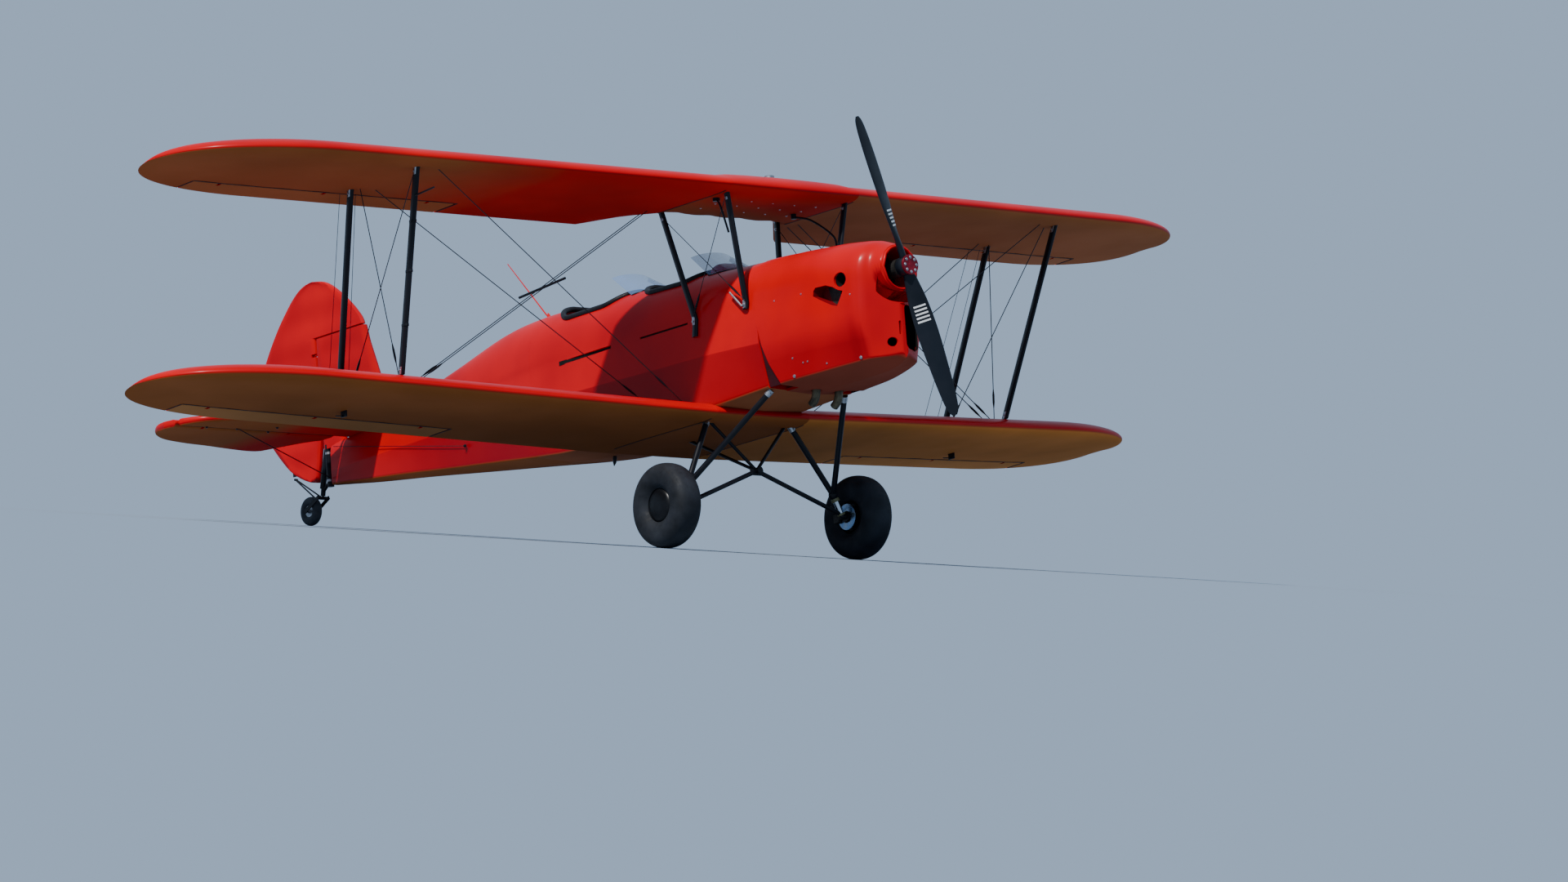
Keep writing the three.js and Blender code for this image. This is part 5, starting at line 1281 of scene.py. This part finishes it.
# Tail surfaces: flat panels whose covering dips between the ribs.
tail = {"fin": 0.044, "rudder": 0.040, "plane": 0.050, "planeZ": 0.025, "sag": 0.0018, "columns": 15,
        "finFootY": 5.996, "finEndY": 6.245, "stabEndY": 5.936, "stabTip": 1.462, "elevFrontY": 5.948,
        "elevRoot": 0.112, "elevTip": 1.494, "hingeY": 5.966}
outlines = {
    "fin": [(5.450, 0.0503), (5.520, 0.240), (5.600, 0.460), (5.660, 0.625), (5.690, 0.745)],
    "rudder": [(6.253, 0.757), (5.704, 0.757), (5.728, 0.812), (5.832, 0.925), (5.985, 1.052), (6.110, 1.125),
               (6.240, 1.152), (6.350, 1.138), (6.460, 1.088), (6.574, 0.994), (6.690, 0.880), (6.812, 0.730),
               (6.905, 0.580), (6.957, 0.430), (6.930, 0.270), (6.840, 0.110), (6.718, -0.035), (6.610, -0.132),
               (6.475, -0.205), (6.365, -0.238), (6.253, -0.240)],
    "stabiliser": [(0.0, 5.400), (0.500, 5.440), (0.900, 5.530), (1.180, 5.640), (1.350, 5.760), (1.440, 5.880),
                   (1.462, 5.936), (0.0, 5.936)],
    "elevator": [(1.476, 5.948), (1.495, 6.060), (1.470, 6.180), (1.390, 6.300), (1.250, 6.400), (1.040, 6.470),
                 (0.830, 6.510), (0.600, 6.565), (0.420, 6.594), (0.330, 6.560), (0.290, 6.420), (0.210, 6.200),
                 (0.130, 6.080), (0.112, 5.948)],
}


def curveOf(points):
    return smoothPath(points, 7)


def roundedTo(start, end, steps):
    # stations that lie closer and closer together towards a rounded tip
    return start + (end - start) * np.sin(np.linspace(0, math.pi / 2, steps))


def flatPanel(stations, thickness, ribs, place):
    # stations are (s, low, high); place turns (s, along, out) into a point
    half, columns = thickness / 2, tail["columns"]
    rings = []
    for s, low, high in stations:
        length = max(high - low, 0.002)
        ease = (1 - np.cos(np.linspace(0, math.pi, columns))) / 2
        along = low + length * ease
        edge = np.minimum(along - low, high - along)
        out = half * np.sqrt(np.clip(1 - (1 - np.clip(edge / half, 0, 1)) ** 2, 0, 1))
        wave = 0.5 - 0.5 * math.cos(2 * math.pi * (s - ribs[0]) / ribs[1])
        out = out - tail["sag"] * wave * np.clip((edge - 0.03) / 0.06, 0, 1)
        face = np.array([place(s, a, o) for a, o in zip(along, out)])
        back = np.array([place(s, a, -o) for a, o in zip(along, out)])
        rings.append(np.vstack([face, back[-2:0:-1]]))
    return loft(rings)


def standing(s, along, out):
    return vec(out, along, s)


def lying(s, along, out):
    return vec(s, along, tail["planeZ"] + out)


# The fin stands on a narrow foot in front of the sternpost; the rudder's horn reaches over the fin.
finFront = np.array(outlines["fin"])[:, ::-1]
finStations = [(z, tail["finFootY"], tail["finEndY"]) for z in (-0.030, 0.0500)]
finStations += [(z, readAt(finFront, z), tail["finEndY"]) for z in np.linspace(0.0503, 0.745, 40)]
rudderRear = curveOf([(z, y) for y, z in outlines["rudder"][6:]][::-1])
rudderHorn = curveOf([(z, y) for y, z in outlines["rudder"][1:7]])
rudderFront = np.array([(-0.24, 6.335), (-0.13, 6.302), (0.03, 6.262), (0.06, 6.253)])    # cut back for the leg
rudderStations = [(z, readAt(rudderFront, z), readAt(rudderRear, z)) for z in np.linspace(-0.2399, 0.7569, 60)]
rudderStations += [(z, readAt(rudderHorn, z), readAt(rudderRear, z)) for z in roundedTo(0.757, 1.1518, 24)]
fin = flatPanel(finStations, tail["fin"], (0.05, 0.23), standing)
rudder = flatPanel(rudderStations, tail["rudder"], (-0.24, 0.25), standing)
stabFront = curveOf(outlines["stabiliser"][:-1])
stabStations = [(x, readAt(stabFront, x) if x < tail["stabTip"] - 0.0001 else 5.93, tail["stabEndY"])
                for x in roundedTo(0, tail["stabTip"], 50)]
stabHalf = flatPanel(stabStations, tail["plane"], (0, 0.24), lying)
elevFront = np.array([(1.476, tail["elevFrontY"]), (1.495, 6.060)])
elevRear = curveOf(outlines["elevator"][1:])[::-1]
elevStations = [(x, readAt(elevFront, x), readAt(elevRear, x))
                for x in roundedTo(tail["elevRoot"], tail["elevTip"], 60)]
elevHalf = flatPanel(elevStations, tail["plane"], (tail["elevRoot"], 0.24), lying)
rudderHinges = [vec(0, 6.278, -0.2 + 0.9 * share) for share in (0.5, 0.93)]
elevatorHinges = [vec(0.12 + 1.32 * share, tail["hingeY"], tail["planeZ"]) for share in (0.3, 0.85)]
rudderSlots = [block(h - (0.06, 0.06, 0.011), h + (0.06, 0.022, 0.011)) for h in rudderHinges]
elevatorSlots = [block(h - (0.011, 0.06, 0.06), h + (0.011, 0.022, 0.06)) for h in elevatorHinges]


def lessPaintedShadeTailRoot(places):
    # less painted underside shade near the fuselage
    return np.interp(np.abs(places[:, 0]), (0.5, 0.75), (0.1, 1))


makePiece("fin", fin, red, ["fin"], paintedShadeOf=noPaintedShade)
makePiece("rudder", carve(rudder, *rudderSlots), red, ["rudder"], "rudder_body", paintedShadeOf=noPaintedShade)
makePiece("stabiliser", bothSides(stabHalf), red, ["stabiliser"], paintedShadeOf=lessPaintedShadeTailRoot)
elevHalf = carve(elevHalf, *elevatorSlots)
torqueTube = rod((-0.14, tail["hingeY"], tail["planeZ"]), (0.14, tail["hingeY"], tail["planeZ"]), 0.014, 20)
makePiece("elevator", bothSides(elevHalf), red, ["elevator"], "elevator_body", paintedShadeOf=lessPaintedShadeTailRoot)
makePiece("elevatorTorqueTube", torqueTube, black, body="elevator_body")
# Dark cords along the tail's hinge gaps, painting the shadow in them
gapRods = [rod((0.16 * hand, 5.932, 0.006), (1.43 * hand, 5.932, 0.006), 0.004, 8) for _, hand in sides]
makePiece("tailGapShadowCords", join(*gapRods), gapShadowPaint)
hingeParts = []
for h in rudderHinges:
    hingeParts += [block(h - (0.009, 0.05, 0.004), h + (0.009, 0.009, 0.004), 0.0015),
                   rod(h - (0, 0, 0.03), h + (0, 0, 0.03), 0.006, 14)]
for h in elevatorHinges:
    hingeParts.append(bothSides(join(block(h - (0.004, 0.06, 0.009), h + (0.004, 0.009, 0.009), 0.0015),
                                     rod(h - (0.03, 0, 0), h + (0.03, 0, 0), 0.006, 14))))
makePiece("tailHinges", join(*hingeParts), redMetal, paintedShadeOf=noPaintedShade)

# Tail fittings: the sternpost's tubes, the steering arms, stays, cables and their bolts.
sternpost = join(rod((0, 6.208, 0.000), (0, 6.208, -0.292), 0.024, 24),
                 rod((0, 6.214, 0.000), (0, 6.303, -0.290), 0.021, 24))
makePiece("sternpostTube", sternpost, black)
postCollars = [rod((0, 6.208, z - 0.008), (0, 6.208, z + 0.008), 0.0250, 24) for z in (-0.06, -0.25)]
makePiece("sternpostCollars", join(*postCollars), zinc)
armTop = vec(0, 6.600, -0.172)
arms = [rod(vec(0.036 * hand, 6.345, -0.352), armTop + (0.004 * hand, 0, 0), 0.0055, 12) for _, hand in sides]
arms += [rod((-0.045, 6.335, -0.352), (0.045, 6.335, -0.352), 0.008, 14),
         rod(armTop - (0.012, 0, 0), armTop + (0.012, 0, 0), 0.008, 14)]
makePiece("steeringArms", join(*arms), black, body="tail_fork")
horn = block((-0.005, 6.575, -0.150), (0.005, 6.625, -0.100), 0.002)
makePiece("rudderHorn", horn, black, body="rudder_body")
tailLines = [(vec(1.0, 5.900, 0.003), vec(0.040, 6.150, -0.245), 0.0035, 10),
             (vec(0.228, 4.400, -0.360), vec(0.078, 6.050, -0.045), 0.002, 8)]
tailStays = [rod(start * (hand, 1, 1), end * (hand, 1, 1), radius, around)
             for _, hand in sides for start, end, radius, around in tailLines]
makePiece("tailStays", join(*tailStays), wireSteel)
tailBolts = [((x * hand, y, z), (out * hand, 0, out - 1)) for _, hand in sides for x, y, z, out in (
    (1.0, 5.900, 0.003, 0), (0.232, 4.400, -0.360, 1), (1.25, 5.905, 0.001, 0), (0.75, 5.780, 0.001, 0),
    (0.72, 5.925, 0.001, 0))]
scatter("tailBolts", screwTree, tailBolts, black, "black_tube", Radius=0.009, Height=0.010)
print("tail made")

# Windscreens: bent acrylic that narrows evenly from its foot.
screens = {
    "front": {"footHalf": 0.225, "footY": 1.600, "footZ": 0.300, "topHalf": 0.165, "topY": 1.880, "topZ": 0.462,
              "bow": 0.160},
    "rear": {"footHalf": 0.215, "footY": 2.440, "footZ": 0.335, "topHalf": 0.155, "topY": 2.730, "topZ": 0.492,
             "bow": 0.140},
}
screen = {"steps": 36, "turn": 0.9 * math.pi, "droop": 0.25, "bead": 0.008, "samples": 60, "sheet": 0.004}


def screenEdge(s, angle, scale, y, z):
    back = s["bow"] * scale * (1 - math.cos(angle))
    return vec(s["footHalf"] * scale * math.sin(angle), y + back, z - screen["droop"] * back)


def screenShapes(s):
    # the sheet, and the bead along its foot
    narrowing = s["topHalf"] / s["footHalf"]
    angles = (np.linspace(0, 1, screen["steps"] + 1) - 0.5) * screen["turn"]
    feet, rings = [], []
    for angle in angles:
        foot = screenEdge(s, angle, 1, s["footY"], s["footZ"])
        top = screenEdge(s, angle, narrowing, s["topY"], s["topZ"])
        # the sheet stands on the deck: its foot is the last point of the line that is still in it
        line = [between(foot, top, share) for share in np.linspace(-0.9, 1, screen["samples"])]
        sunk = [p for p in line if p[2] - (deckHeight(p[0], p[1]) + 0.001) <= 0]
        start = sunk[-1] if sunk else foot
        inward = unit((vec(0, start[1] + 0.2, start[2]) - start) * (1, 1, 0)) * screen["sheet"]
        feet.append(start)
        rings.append([start, top, top + inward, start + inward])
    return loft(rings), sweep(feet, screen["bead"], 10)


for place, s in screens.items():
    sheet, bead = screenShapes(s)
    makePiece(f"windscreen_{place}", sheet, acrylic, [f"windscreen_{place}"])
    makePiece(f"windscreenBead_{place}", bead, black)

# The red hood over the front panel, behind its screen.
hood = {"rows": [(1.600, 0.050, 0.004), (1.640, 0.090, 0.026), (1.690, 0.125, 0.044), (1.740, 0.148, 0.056),
                 (1.786, 0.165, 0.062)], "sunk": 0.012, "power": 0.7}


def hoodRing(y, half, rise):
    ring = []
    for a in np.linspace(0, math.pi, 19):
        x, arch = half * math.cos(a), math.sin(a) ** hood["power"]
        ring.append((x, y, deckHeight(x, y) - hood["sunk"] + (rise + hood["sunk"]) * arch))
    return ring


makePiece("panelHood", loft([hoodRing(*row) for row in hood["rows"]]), redMetal)

# Fine rigging: crossed wires between the cabane struts, turnbuckles, hoses and the tank's fittings.
# Each row of wires: the foot, the top, and how far up the turnbuckle sits.
lower, upper = wings["lower"], wings["upper"]
cabaneWires = [(vec(0.385, 1.200, -0.020), vec(0.485, 1.850, 0.655), 0.13),
               (vec(0.385, 1.735, -0.030), vec(0.495, 1.180, 0.665), 0.13)]
wingWires = [(onWing(lower, 2.46, 0.15) + (0, -0.028, 0), onWing(upper, 0.56, 0.62), 0.09),
             (onWing(lower, 2.46, 0.15) + (0, 0.028, 0), onWing(upper, 0.56, 0.70), 0.09),
             (onWing(lower, 0.47, 0.12), onWing(upper, 2.62, 0.112), 0.12),
             (onWing(lower, 0.47, 0.36), onWing(upper, 2.62, 0.66), 0.12),
             (onWing(lower, 2.53, 0.15) + (-0.034, 0.04, 0), onWing(upper, 2.69, 0.697) + (-0.034, -0.04, 0), 0.16),
             (onWing(lower, 2.53, 0.7) + (-0.034, -0.04, 0), onWing(upper, 2.69, 0.112) + (-0.034, 0.04, 0), 0.16)]
fineWires = [rod(top * (hand, 1, 1), foot * (hand, 1, 1), 0.0024, 8)
             for _, hand in sides for foot, top, _ in cabaneWires]
buckles = [(between(foot, top, share) * (hand, 1, 1), (top - foot) * (hand, 1, 1))
           for _, hand in sides for foot, top, share in cabaneWires + wingWires]
linkAhead = section["nose"] + section["clearance"] + 0.012


def linkEnd(wing, x, face):
    # an aileron link wire's end, on the wing ahead of the aileron's hinge line
    u = (hingeAt(wing, x)[1] - linkAhead - planform(wing, x)[0]) / section["chord"]
    return onWing(wing, x, u, face)


for lowX, highX in ((2.40, 2.59), (2.54, 2.70)):
    low, high = linkEnd(lower, lowX, "top"), linkEnd(upper, highX, "bottom")
    fineWires.append(bothSides(rod(low - (0, 0, 0.004), high + (0, 0, 0.004), 0.0018, 8)))
makePiece("cabaneWires", join(*fineWires), wireSteel)
scatter("turnbuckles", buckleTree, buckles, black, "black_tube", Radius=0.0075, Length=0.13)
hoses = [smoothPath([(0.370, 1.540, 0.655), (0.400, 1.400, 0.604), (0.430, 1.235, 0.473), (0.450, 1.225, 0.400)], 6),
         smoothPath([(-0.470, 1.307, 0.668), (-0.495, 1.240, 0.600), (-0.455, 1.226, 0.430)], 6)]
collars = [rod((0.370, 1.540, 0.640), (0.370, 1.540, 0.680), 0.018, 20),
           rod((-0.470, 1.307, 0.650), (-0.470, 1.307, 0.690), 0.024, 20)]
makePiece("tankHoses", join(*(sweep(line, 0.007, 10) for line in hoses), *collars), black)
tankRows = {y: (y - upper["leadingY"]) / section["chord"] for y in (1.30, 1.45, 1.60)}
tankSpots = [((x, y, onWing(upper, x, u, "bottom", 1.15)[2] + 0.001), (0, 0, -1))
             for x in (-0.36, -0.18, 0.0, 0.18, 0.36) for y, u in tankRows.items()]
scatter("tankScrews", screwTree, tankSpots, zinc, "bracing_wire", Radius=0.006, Height=0.004)
capBase = onWing(upper, 0.0, 0.22, "top", 1.22)
tankCap = lathe([(-0.01, 0), (-0.01, 0.034), (0.012, 0.034), (0.016, 0.030), (0.016, 0)], capBase, (0, 0, 1), 32)
makePiece("tankCap", tankCap, zinc)
strutLow, strutHigh = (end * (-1, 1, 1) for end in strutEnds(strutRows[0]))      # of the right front strut
bands = []
for share in (0.24, 0.50, 0.74):
    at = between(strutLow, strutHigh, share)
    bands.append(strutShape([at - (0, 0, 0.008), at + (0, 0, 0.008)], 0.067, 0.033))
pitotAt = between(strutLow, strutHigh, 0.86)
bands.append(sweep(smoothPath([pitotAt, pitotAt + (-0.01, -0.05, 0.0), pitotAt + (-0.01, -0.22, 0.01)], 5), 0.006, 12))
makePiece("pitotAndClamps", join(*bands), black)
makePiece("cabaneStay", rod((-0.388, 1.231, -0.05), (-0.388, 1.342, 0.063), 0.007, 14), zinc)

# Brakes: a caliper round each disc, carried by an arm from the axle, with its pipe.
brake = {"arm": (0.6785, 0.685), "inner": (0.678, 0.6995), "outer": (0.7175, 0.727), "reach": (0.052, 0.104),
         "bridge": 0.0915, "half": 0.028}
low, high = wheel["y"] + brake["reach"][0], wheel["y"] + brake["reach"][1]
z0, z1 = wheel["z"] - brake["half"], wheel["z"] + brake["half"]
caliper = [block((x0, low, z0), (x1, high, z1), 0.003) for x0, x1 in (brake["inner"], brake["outer"])]
caliper += [block((brake["inner"][0] + 0.001, wheel["y"] + brake["bridge"], z0 + 0.001),
                  (brake["outer"][1] - 0.001, high - 0.001, z1 - 0.001), 0.003),
            block((brake["arm"][0], wheel["y"] + 0.010, wheel["z"] - 0.014),
                  (brake["arm"][1], low + 0.006, wheel["z"] + 0.014), 0.002)]
pipeLine = [(0.622, 1.668, -1.175), (0.640, 1.690, -1.215), (0.672, 1.712, -1.250), (0.688, 1.725, -1.274)]
pipe = sweep(smoothPath(pipeLine, 6), 0.0042, 10)
makePair("brakeCaliper", join(*caliper), casting)
makePair("brakePipe", pipe, black)

# Aileron horns under the lower wings and their push rods.
hornAt = onWing(wings["lower"], 2.56, 0.62, "bottom")
bracket = join(block(hornAt + (-0.004, -0.03, -0.040), hornAt + (0.004, 0.03, 0.006), 0.002),
               rod(hornAt + (-0.012, 0.01, -0.030), hornAt + (0.012, 0.01, -0.030), 0.007, 12),
               rod(hornAt + (0, 0.01, -0.030), hornAt + (0, 0.085, -0.016), 0.004, 10))
makePiece("aileronHorns", bothSides(bracket), black)

drain = sweep([(0, 3.11, -0.640), (0, 3.112, -0.672), (0, 3.118, -0.700), (0, 3.126, -0.722)],
              [0.011, 0.018, 0.015, 0.003], 14, flat=0.6)
makePiece("bellyDrain", drain, black)

whip = join(lathe([(-0.06, 0), (-0.06, 0.026), (0.004, 0.024), (0.02, 0.014), (0.048, 0.007), (0.06, 0)],
                  vec(0, 3.68, 0.372), (0, 0.4, 1), 28),
            sweep([(0, 3.692, 0.386), (0, 4.092, 0.838)], [0.005, 0.003], 12))
makePiece("radioAntenna", whip, redMetal, ["radio_antenna"])

# Cockpit rims: rolls of hide round each opening.
for place, cockpit in cockpits.items():
    outline = [(x, y, deckHeight(x, y) + 0.004) for x, y in cockpitOutline(cockpit, 13)]
    piece = makePiece(f"coamingRoll_{place}", sweep(outline, cockpit["roll"], 16, closed=True), hide)

# Seats: a sheet bucket on a tube pedestal, with a squab and a back cushion of hide.
seats = {"front": {"backY": 2.41, "panTop": -0.364}, "rear": {"backY": 3.31, "panTop": -0.344}}
seat = {"half": 0.225, "deep": 0.40, "sheet": 0.012, "backHigh": 0.56, "wall": 0.05, "corner": 0.07,
        "floor": -0.615, "panDeep": 0.09, "squabCentre": 0.172, "backCentre": 0.285}
squab = {"half": (0.200, 0.155, 0.036), "channels": (-0.1, 0.0, 0.1), "axis": 0, "crown": 0.012, "fill": 0.75}
backrest = {"half": (0.195, 0.225, 0.028), "channels": (-0.135, -0.045, 0.045, 0.135), "axis": 1, "crown": 0.010,
            "fill": 0.7}
cloth = {"voxel": 0.006, "pressure": 4.0, "frames": 20, "furthest": 0.024, "groove": 0.004, "seam": 0.0035}


def roundedPlate(half, low, high, corner, y0, y1, steps=7):
    points = []
    for cx, cz, start in ((half - corner, low + 0.02, -90), (half - corner, high - corner, 0),
                          (-half + corner, high - corner, 90), (-half + corner, low + 0.02, 180)):
        size = corner if cz > low + 0.03 else 0.02
        reach = half - size if cx > 0 else -half + size
        for angle in np.radians(np.linspace(start, start + 90, steps)):
            points.append((reach + size * math.cos(angle), cz + size * math.sin(angle)))
    return loft([[(x, y, z) for x, z in points] for y in (y0, y1)])


def throughModifier(mesh, kind, **settings):
    thing = bpy.data.objects.new("worked", mesh)
    bpy.context.scene.collection.objects.link(thing)
    worker = thing.modifiers.new("work", kind)
    for key, value in settings.items():
        setattr(worker, key, value)
    made = evaluated(thing)
    bpy.data.objects.remove(thing)
    return made


def pointsOf(mesh):
    places = np.zeros(len(mesh.vertices) * 3)
    mesh.vertices.foreach_get("co", places)
    return places.reshape(-1, 3)


def puffedMesh(name, cushion):
    # a cushion blown up by cloth pressure; it is held at its flat foot, its side seam and its sewn channels
    a, b, c = cushion["half"]
    mesh = throughModifier(rawMesh(name, block((-a, -b, -c), (a, b, c), c * 0.55, 4)), "REMESH", mode="VOXEL",
                           voxel_size=cloth["voxel"])
    start = pointsOf(mesh)
    across = start[:, cushion["axis"]]
    line = np.min([np.abs(across - at) for at in cushion["channels"]], axis=0)
    inside = (np.abs(start[:, 0]) < 0.9 * a) & (np.abs(start[:, 1]) < 0.9 * b) & (start[:, 2] > 0)
    rim = (np.abs(start[:, 0]) > 0.93 * a) | (np.abs(start[:, 1]) > 0.93 * b)
    start[:, 2] -= cloth["groove"] * inside * np.exp(-(line / cloth["seam"]) ** 2)
    held = (inside & (line < cloth["seam"])) | (rim & (np.abs(start[:, 2]) < cloth["seam"])) | (start[:, 2] < -0.85 * c)
    mesh.vertices.foreach_set("co", start.ravel())
    blown = bpy.data.objects.new(name, mesh)
    bpy.context.scene.collection.objects.link(blown)
    blown.vertex_groups.new(name="held").add(np.flatnonzero(held).tolist(), 1.0, "REPLACE")
    worker = blown.modifiers.new("cloth", "CLOTH")
    worker.settings.use_pressure = True
    worker.settings.uniform_pressure_force = cloth["pressure"]
    worker.settings.effector_weights.gravity = 0
    worker.settings.vertex_group_mass = "held"
    worker.point_cache.frame_start, worker.point_cache.frame_end = 1, cloth["frames"]
    scene = bpy.context.scene
    for step in range(1, cloth["frames"] + 1):
        scene.frame_set(step)
    made = evaluated(blown)
    scene.frame_set(1)
    bpy.data.objects.remove(blown)
    moved = pointsOf(made) - start
    length = np.linalg.norm(moved, axis=1, keepdims=True)
    print(name, "moved up to", round(float(length.max()), 4))
    end = start + moved * np.minimum(1, cloth["furthest"] / np.maximum(length, 1e-9))
    made.vertices.foreach_set("co", end.ravel())
    return throughModifier(made, "SUBSURF", levels=1, render_levels=1)


def placeCushion(name, mesh, where):
    # where turns the cushion's own frame, thickness up, into the datum
    mesh = mesh.copy()
    mesh.transform(parked @ where)
    mesh.name = name
    dress(mesh, hide, 60)
    piece = bpy.data.objects.new(name, mesh)
    bpy.context.scene.collection.objects.link(piece)
    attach(piece, "airframe")


squabMesh, backMesh = puffedMesh("squab", squab), puffedMesh("backrest", backrest)
for place, spot in seats.items():
    backY, top = spot["backY"], spot["panTop"]
    frontY, sheet, half = backY - seat["deep"], seat["sheet"], seat["half"]
    base = top - seat["panDeep"]
    parts = [block((-half, frontY, base), (half, backY, base + sheet), 0.004),
             roundedPlate(half, base, top + seat["backHigh"], seat["corner"], backY - sheet, backY)]
    for _, hand in sides:
        x0, x1 = sorted((hand * (half - sheet * 0.7), hand * half))
        parts.append(block((x0, frontY + 0.02, base), (x1, backY - 0.001, base + seat["wall"]), 0.003))
        for y in (frontY + 0.05, backY - 0.05):
            parts.append(rod((hand * 0.16, y, base + 0.004), (hand * 0.14, y, seat["floor"]), 0.011, 14))
    makePiece(f"seatBucket_{place}", join(*parts), crackle, [f"seat_{place}"])
    flatPlace = Matrix.Translation((0, frontY + seat["squabCentre"], base + sheet + squab["half"][2]))
    backPlace = Matrix.Translation((0, backY - sheet - backrest["half"][2], top + seat["backCentre"]))
    backPlace = backPlace @ Matrix.Rotation(math.pi / 2, 4, "X")
    placeCushion(f"seatSquab_{place}", squabMesh, flatPlace)
    placeCushion(f"seatBackrest_{place}", backMesh, backPlace)

# Instruments on both panels: bezels, glass and needles, and a row of switches.
dials = [(-0.165, 0.125, 0.036), (-0.060, 0.150, 0.042), (0.055, 0.150, 0.042), (0.160, 0.125, 0.036),
         (-0.115, 0.035, 0.028), (0.000, 0.030, 0.036), (0.115, 0.035, 0.028)]      # x, z and radius
for place, faceY in (("front", 1.750), ("rear", 2.550)):
    bezels, glasses, needles, switches = [], [], [], []
    for i, (x, z, r) in enumerate(dials):
        at = vec(x, faceY, z)
        bezels.append(lathe([(-0.001, r), (0.008, r), (0.008, r - 0.005), (-0.001, r - 0.007)], at, (0, 1, 0), 40))
        glasses.append(lathe([(-0.001, 0), (-0.001, r - 0.004), (0.003, r - 0.004), (0.003, 0)], at, (0, 1, 0), 40))
        lean = 0.8 * i - 2.0
        tip = at + (0.7 * r * math.sin(lean), 0.0042, 0.7 * r * math.cos(lean))
        needles.append(rod(at + (0, 0.0042, 0), tip, 0.0012, 6, 0.0005))
    for x in np.linspace(-0.12, 0.12, 6):
        switches.append(((x, faceY, -0.035), (0, 1, 0)))
    makePiece(f"dialBezels_{place}", join(*bezels), black)
    makePiece(f"dialGlasses_{place}", join(*glasses), dialGlass)
    makePiece(f"dialNeedles_{place}", join(*needles), whiteLacquer)
    scatter(f"panelSwitches_{place}", screwTree, switches, zinc, "panel_black", Radius=0.006, Height=0.016)
print("cockpits made")

# CAD nodes that stay, under their finishes.
wires = ("landing_wires", "flying_wire_front", "flying_wire_rear", "stagger_wires")
finishes = (
    (casting, ["engine_block"]),
    (wireSteel, [f"{wire}_{side}" for wire in wires for side, _ in sides]),
    (black, ["tail_leg", "tailwheel_fork", "control_stick_front", "control_stick_rear"]),
    (crackle, ["instrument_panel_front", "instrument_panel_rear"]),
)
for material, nodes in finishes:
    for thing in (frame["nodes"][node] for node in nodes):
        if not thing.material_slots:
            thing.data.materials.append(material)
        for holder in thing.material_slots:
            holder.link, holder.material = "OBJECT", material

# Floor, light and camera.
stage = {"floor": 900.0, "sky": (0.34, 0.46, 0.63), "sun": (1.0, 0.97, 0.93), "sunStrength": 4.8, "sunWide": 2.5,
         "sunFrom": (-0.60, -0.165, 0.78), "distance": 60.0, "azimuth": -38.2,
         "height": 0.1, "pitch": 0.627, "turn": -1.346, "roll": 3.47, "lens": 207.4}


def makeFloor():
    bm = bmesh.new()
    bmesh.ops.create_grid(bm, x_segments=8, y_segments=8, size=stage["floor"] / 2)
    mesh = bpy.data.meshes.new("floor")
    bm.to_mesh(mesh)
    bm.free()
    floor = bpy.data.objects.new("floor", mesh)
    bpy.context.scene.collection.objects.link(floor)
    # Plain studio floor: matt paint, its grey chosen so that the lit floor meets the backdrop unseen.
    material, tree, shader, place = startMaterial("mattFloorPaint")
    height = Vector(stage["sunFrom"]).normalized().z
    lit = [stage["sunStrength"] * height / math.pi * share + sky for share, sky in zip(stage["sun"], stage["sky"])]
    shader.inputs["Base Color"].default_value = [sky / light for sky, light in zip(stage["sky"], lit)] + [1.0]
    grain = addNode(tree, "ShaderNodeTexNoise", {"Vector": place, "Scale": 0.4, "Detail": 3.0})
    tree.links.new(ramp(tree, grain.outputs[0], 0.3, 0.7, 0.85, 0.95), shader.inputs["Roughness"])
    shader.inputs["Specular IOR Level"].default_value = 0.0
    mesh.materials.append(material)


def makeLight():
    world = bpy.data.worlds.new("studio")
    bpy.context.scene.world = world
    world.use_nodes = True
    background = world.node_tree.nodes["Background"]
    background.inputs["Color"].default_value = [*stage["sky"], 1.0]
    background.inputs["Strength"].default_value = 1.0
    lamp = bpy.data.lights.new("sun", "SUN")
    lamp.energy, lamp.angle, lamp.color = stage["sunStrength"], math.radians(stage["sunWide"]), stage["sun"]
    sun = bpy.data.objects.new("sun", lamp)
    sun.rotation_euler = Vector(stage["sunFrom"]).to_track_quat("Z", "Y").to_euler()
    bpy.context.scene.collection.objects.link(sun)


def makeCamera():
    data = bpy.data.cameras.new("camera")
    data.lens, data.sensor_width, data.clip_end = stage["lens"], 36, 3000
    camera = bpy.data.objects.new("camera", data)
    azimuth, away = math.radians(stage["azimuth"]), stage["distance"]
    where = Matrix.Translation((away * math.sin(azimuth), -away * math.cos(azimuth), stage["height"]))
    turn = Matrix.Rotation(azimuth + math.radians(stage["turn"]), 4, "Z")
    lift = Matrix.Rotation(math.radians(90 + stage["pitch"]), 4, "X")
    camera.matrix_world = where @ turn @ lift @ Matrix.Rotation(math.radians(stage["roll"]), 4, "Z")
    bpy.context.scene.collection.objects.link(camera)
    bpy.context.scene.camera = camera


makeFloor()
makeLight()
makeCamera()
print("stage made")
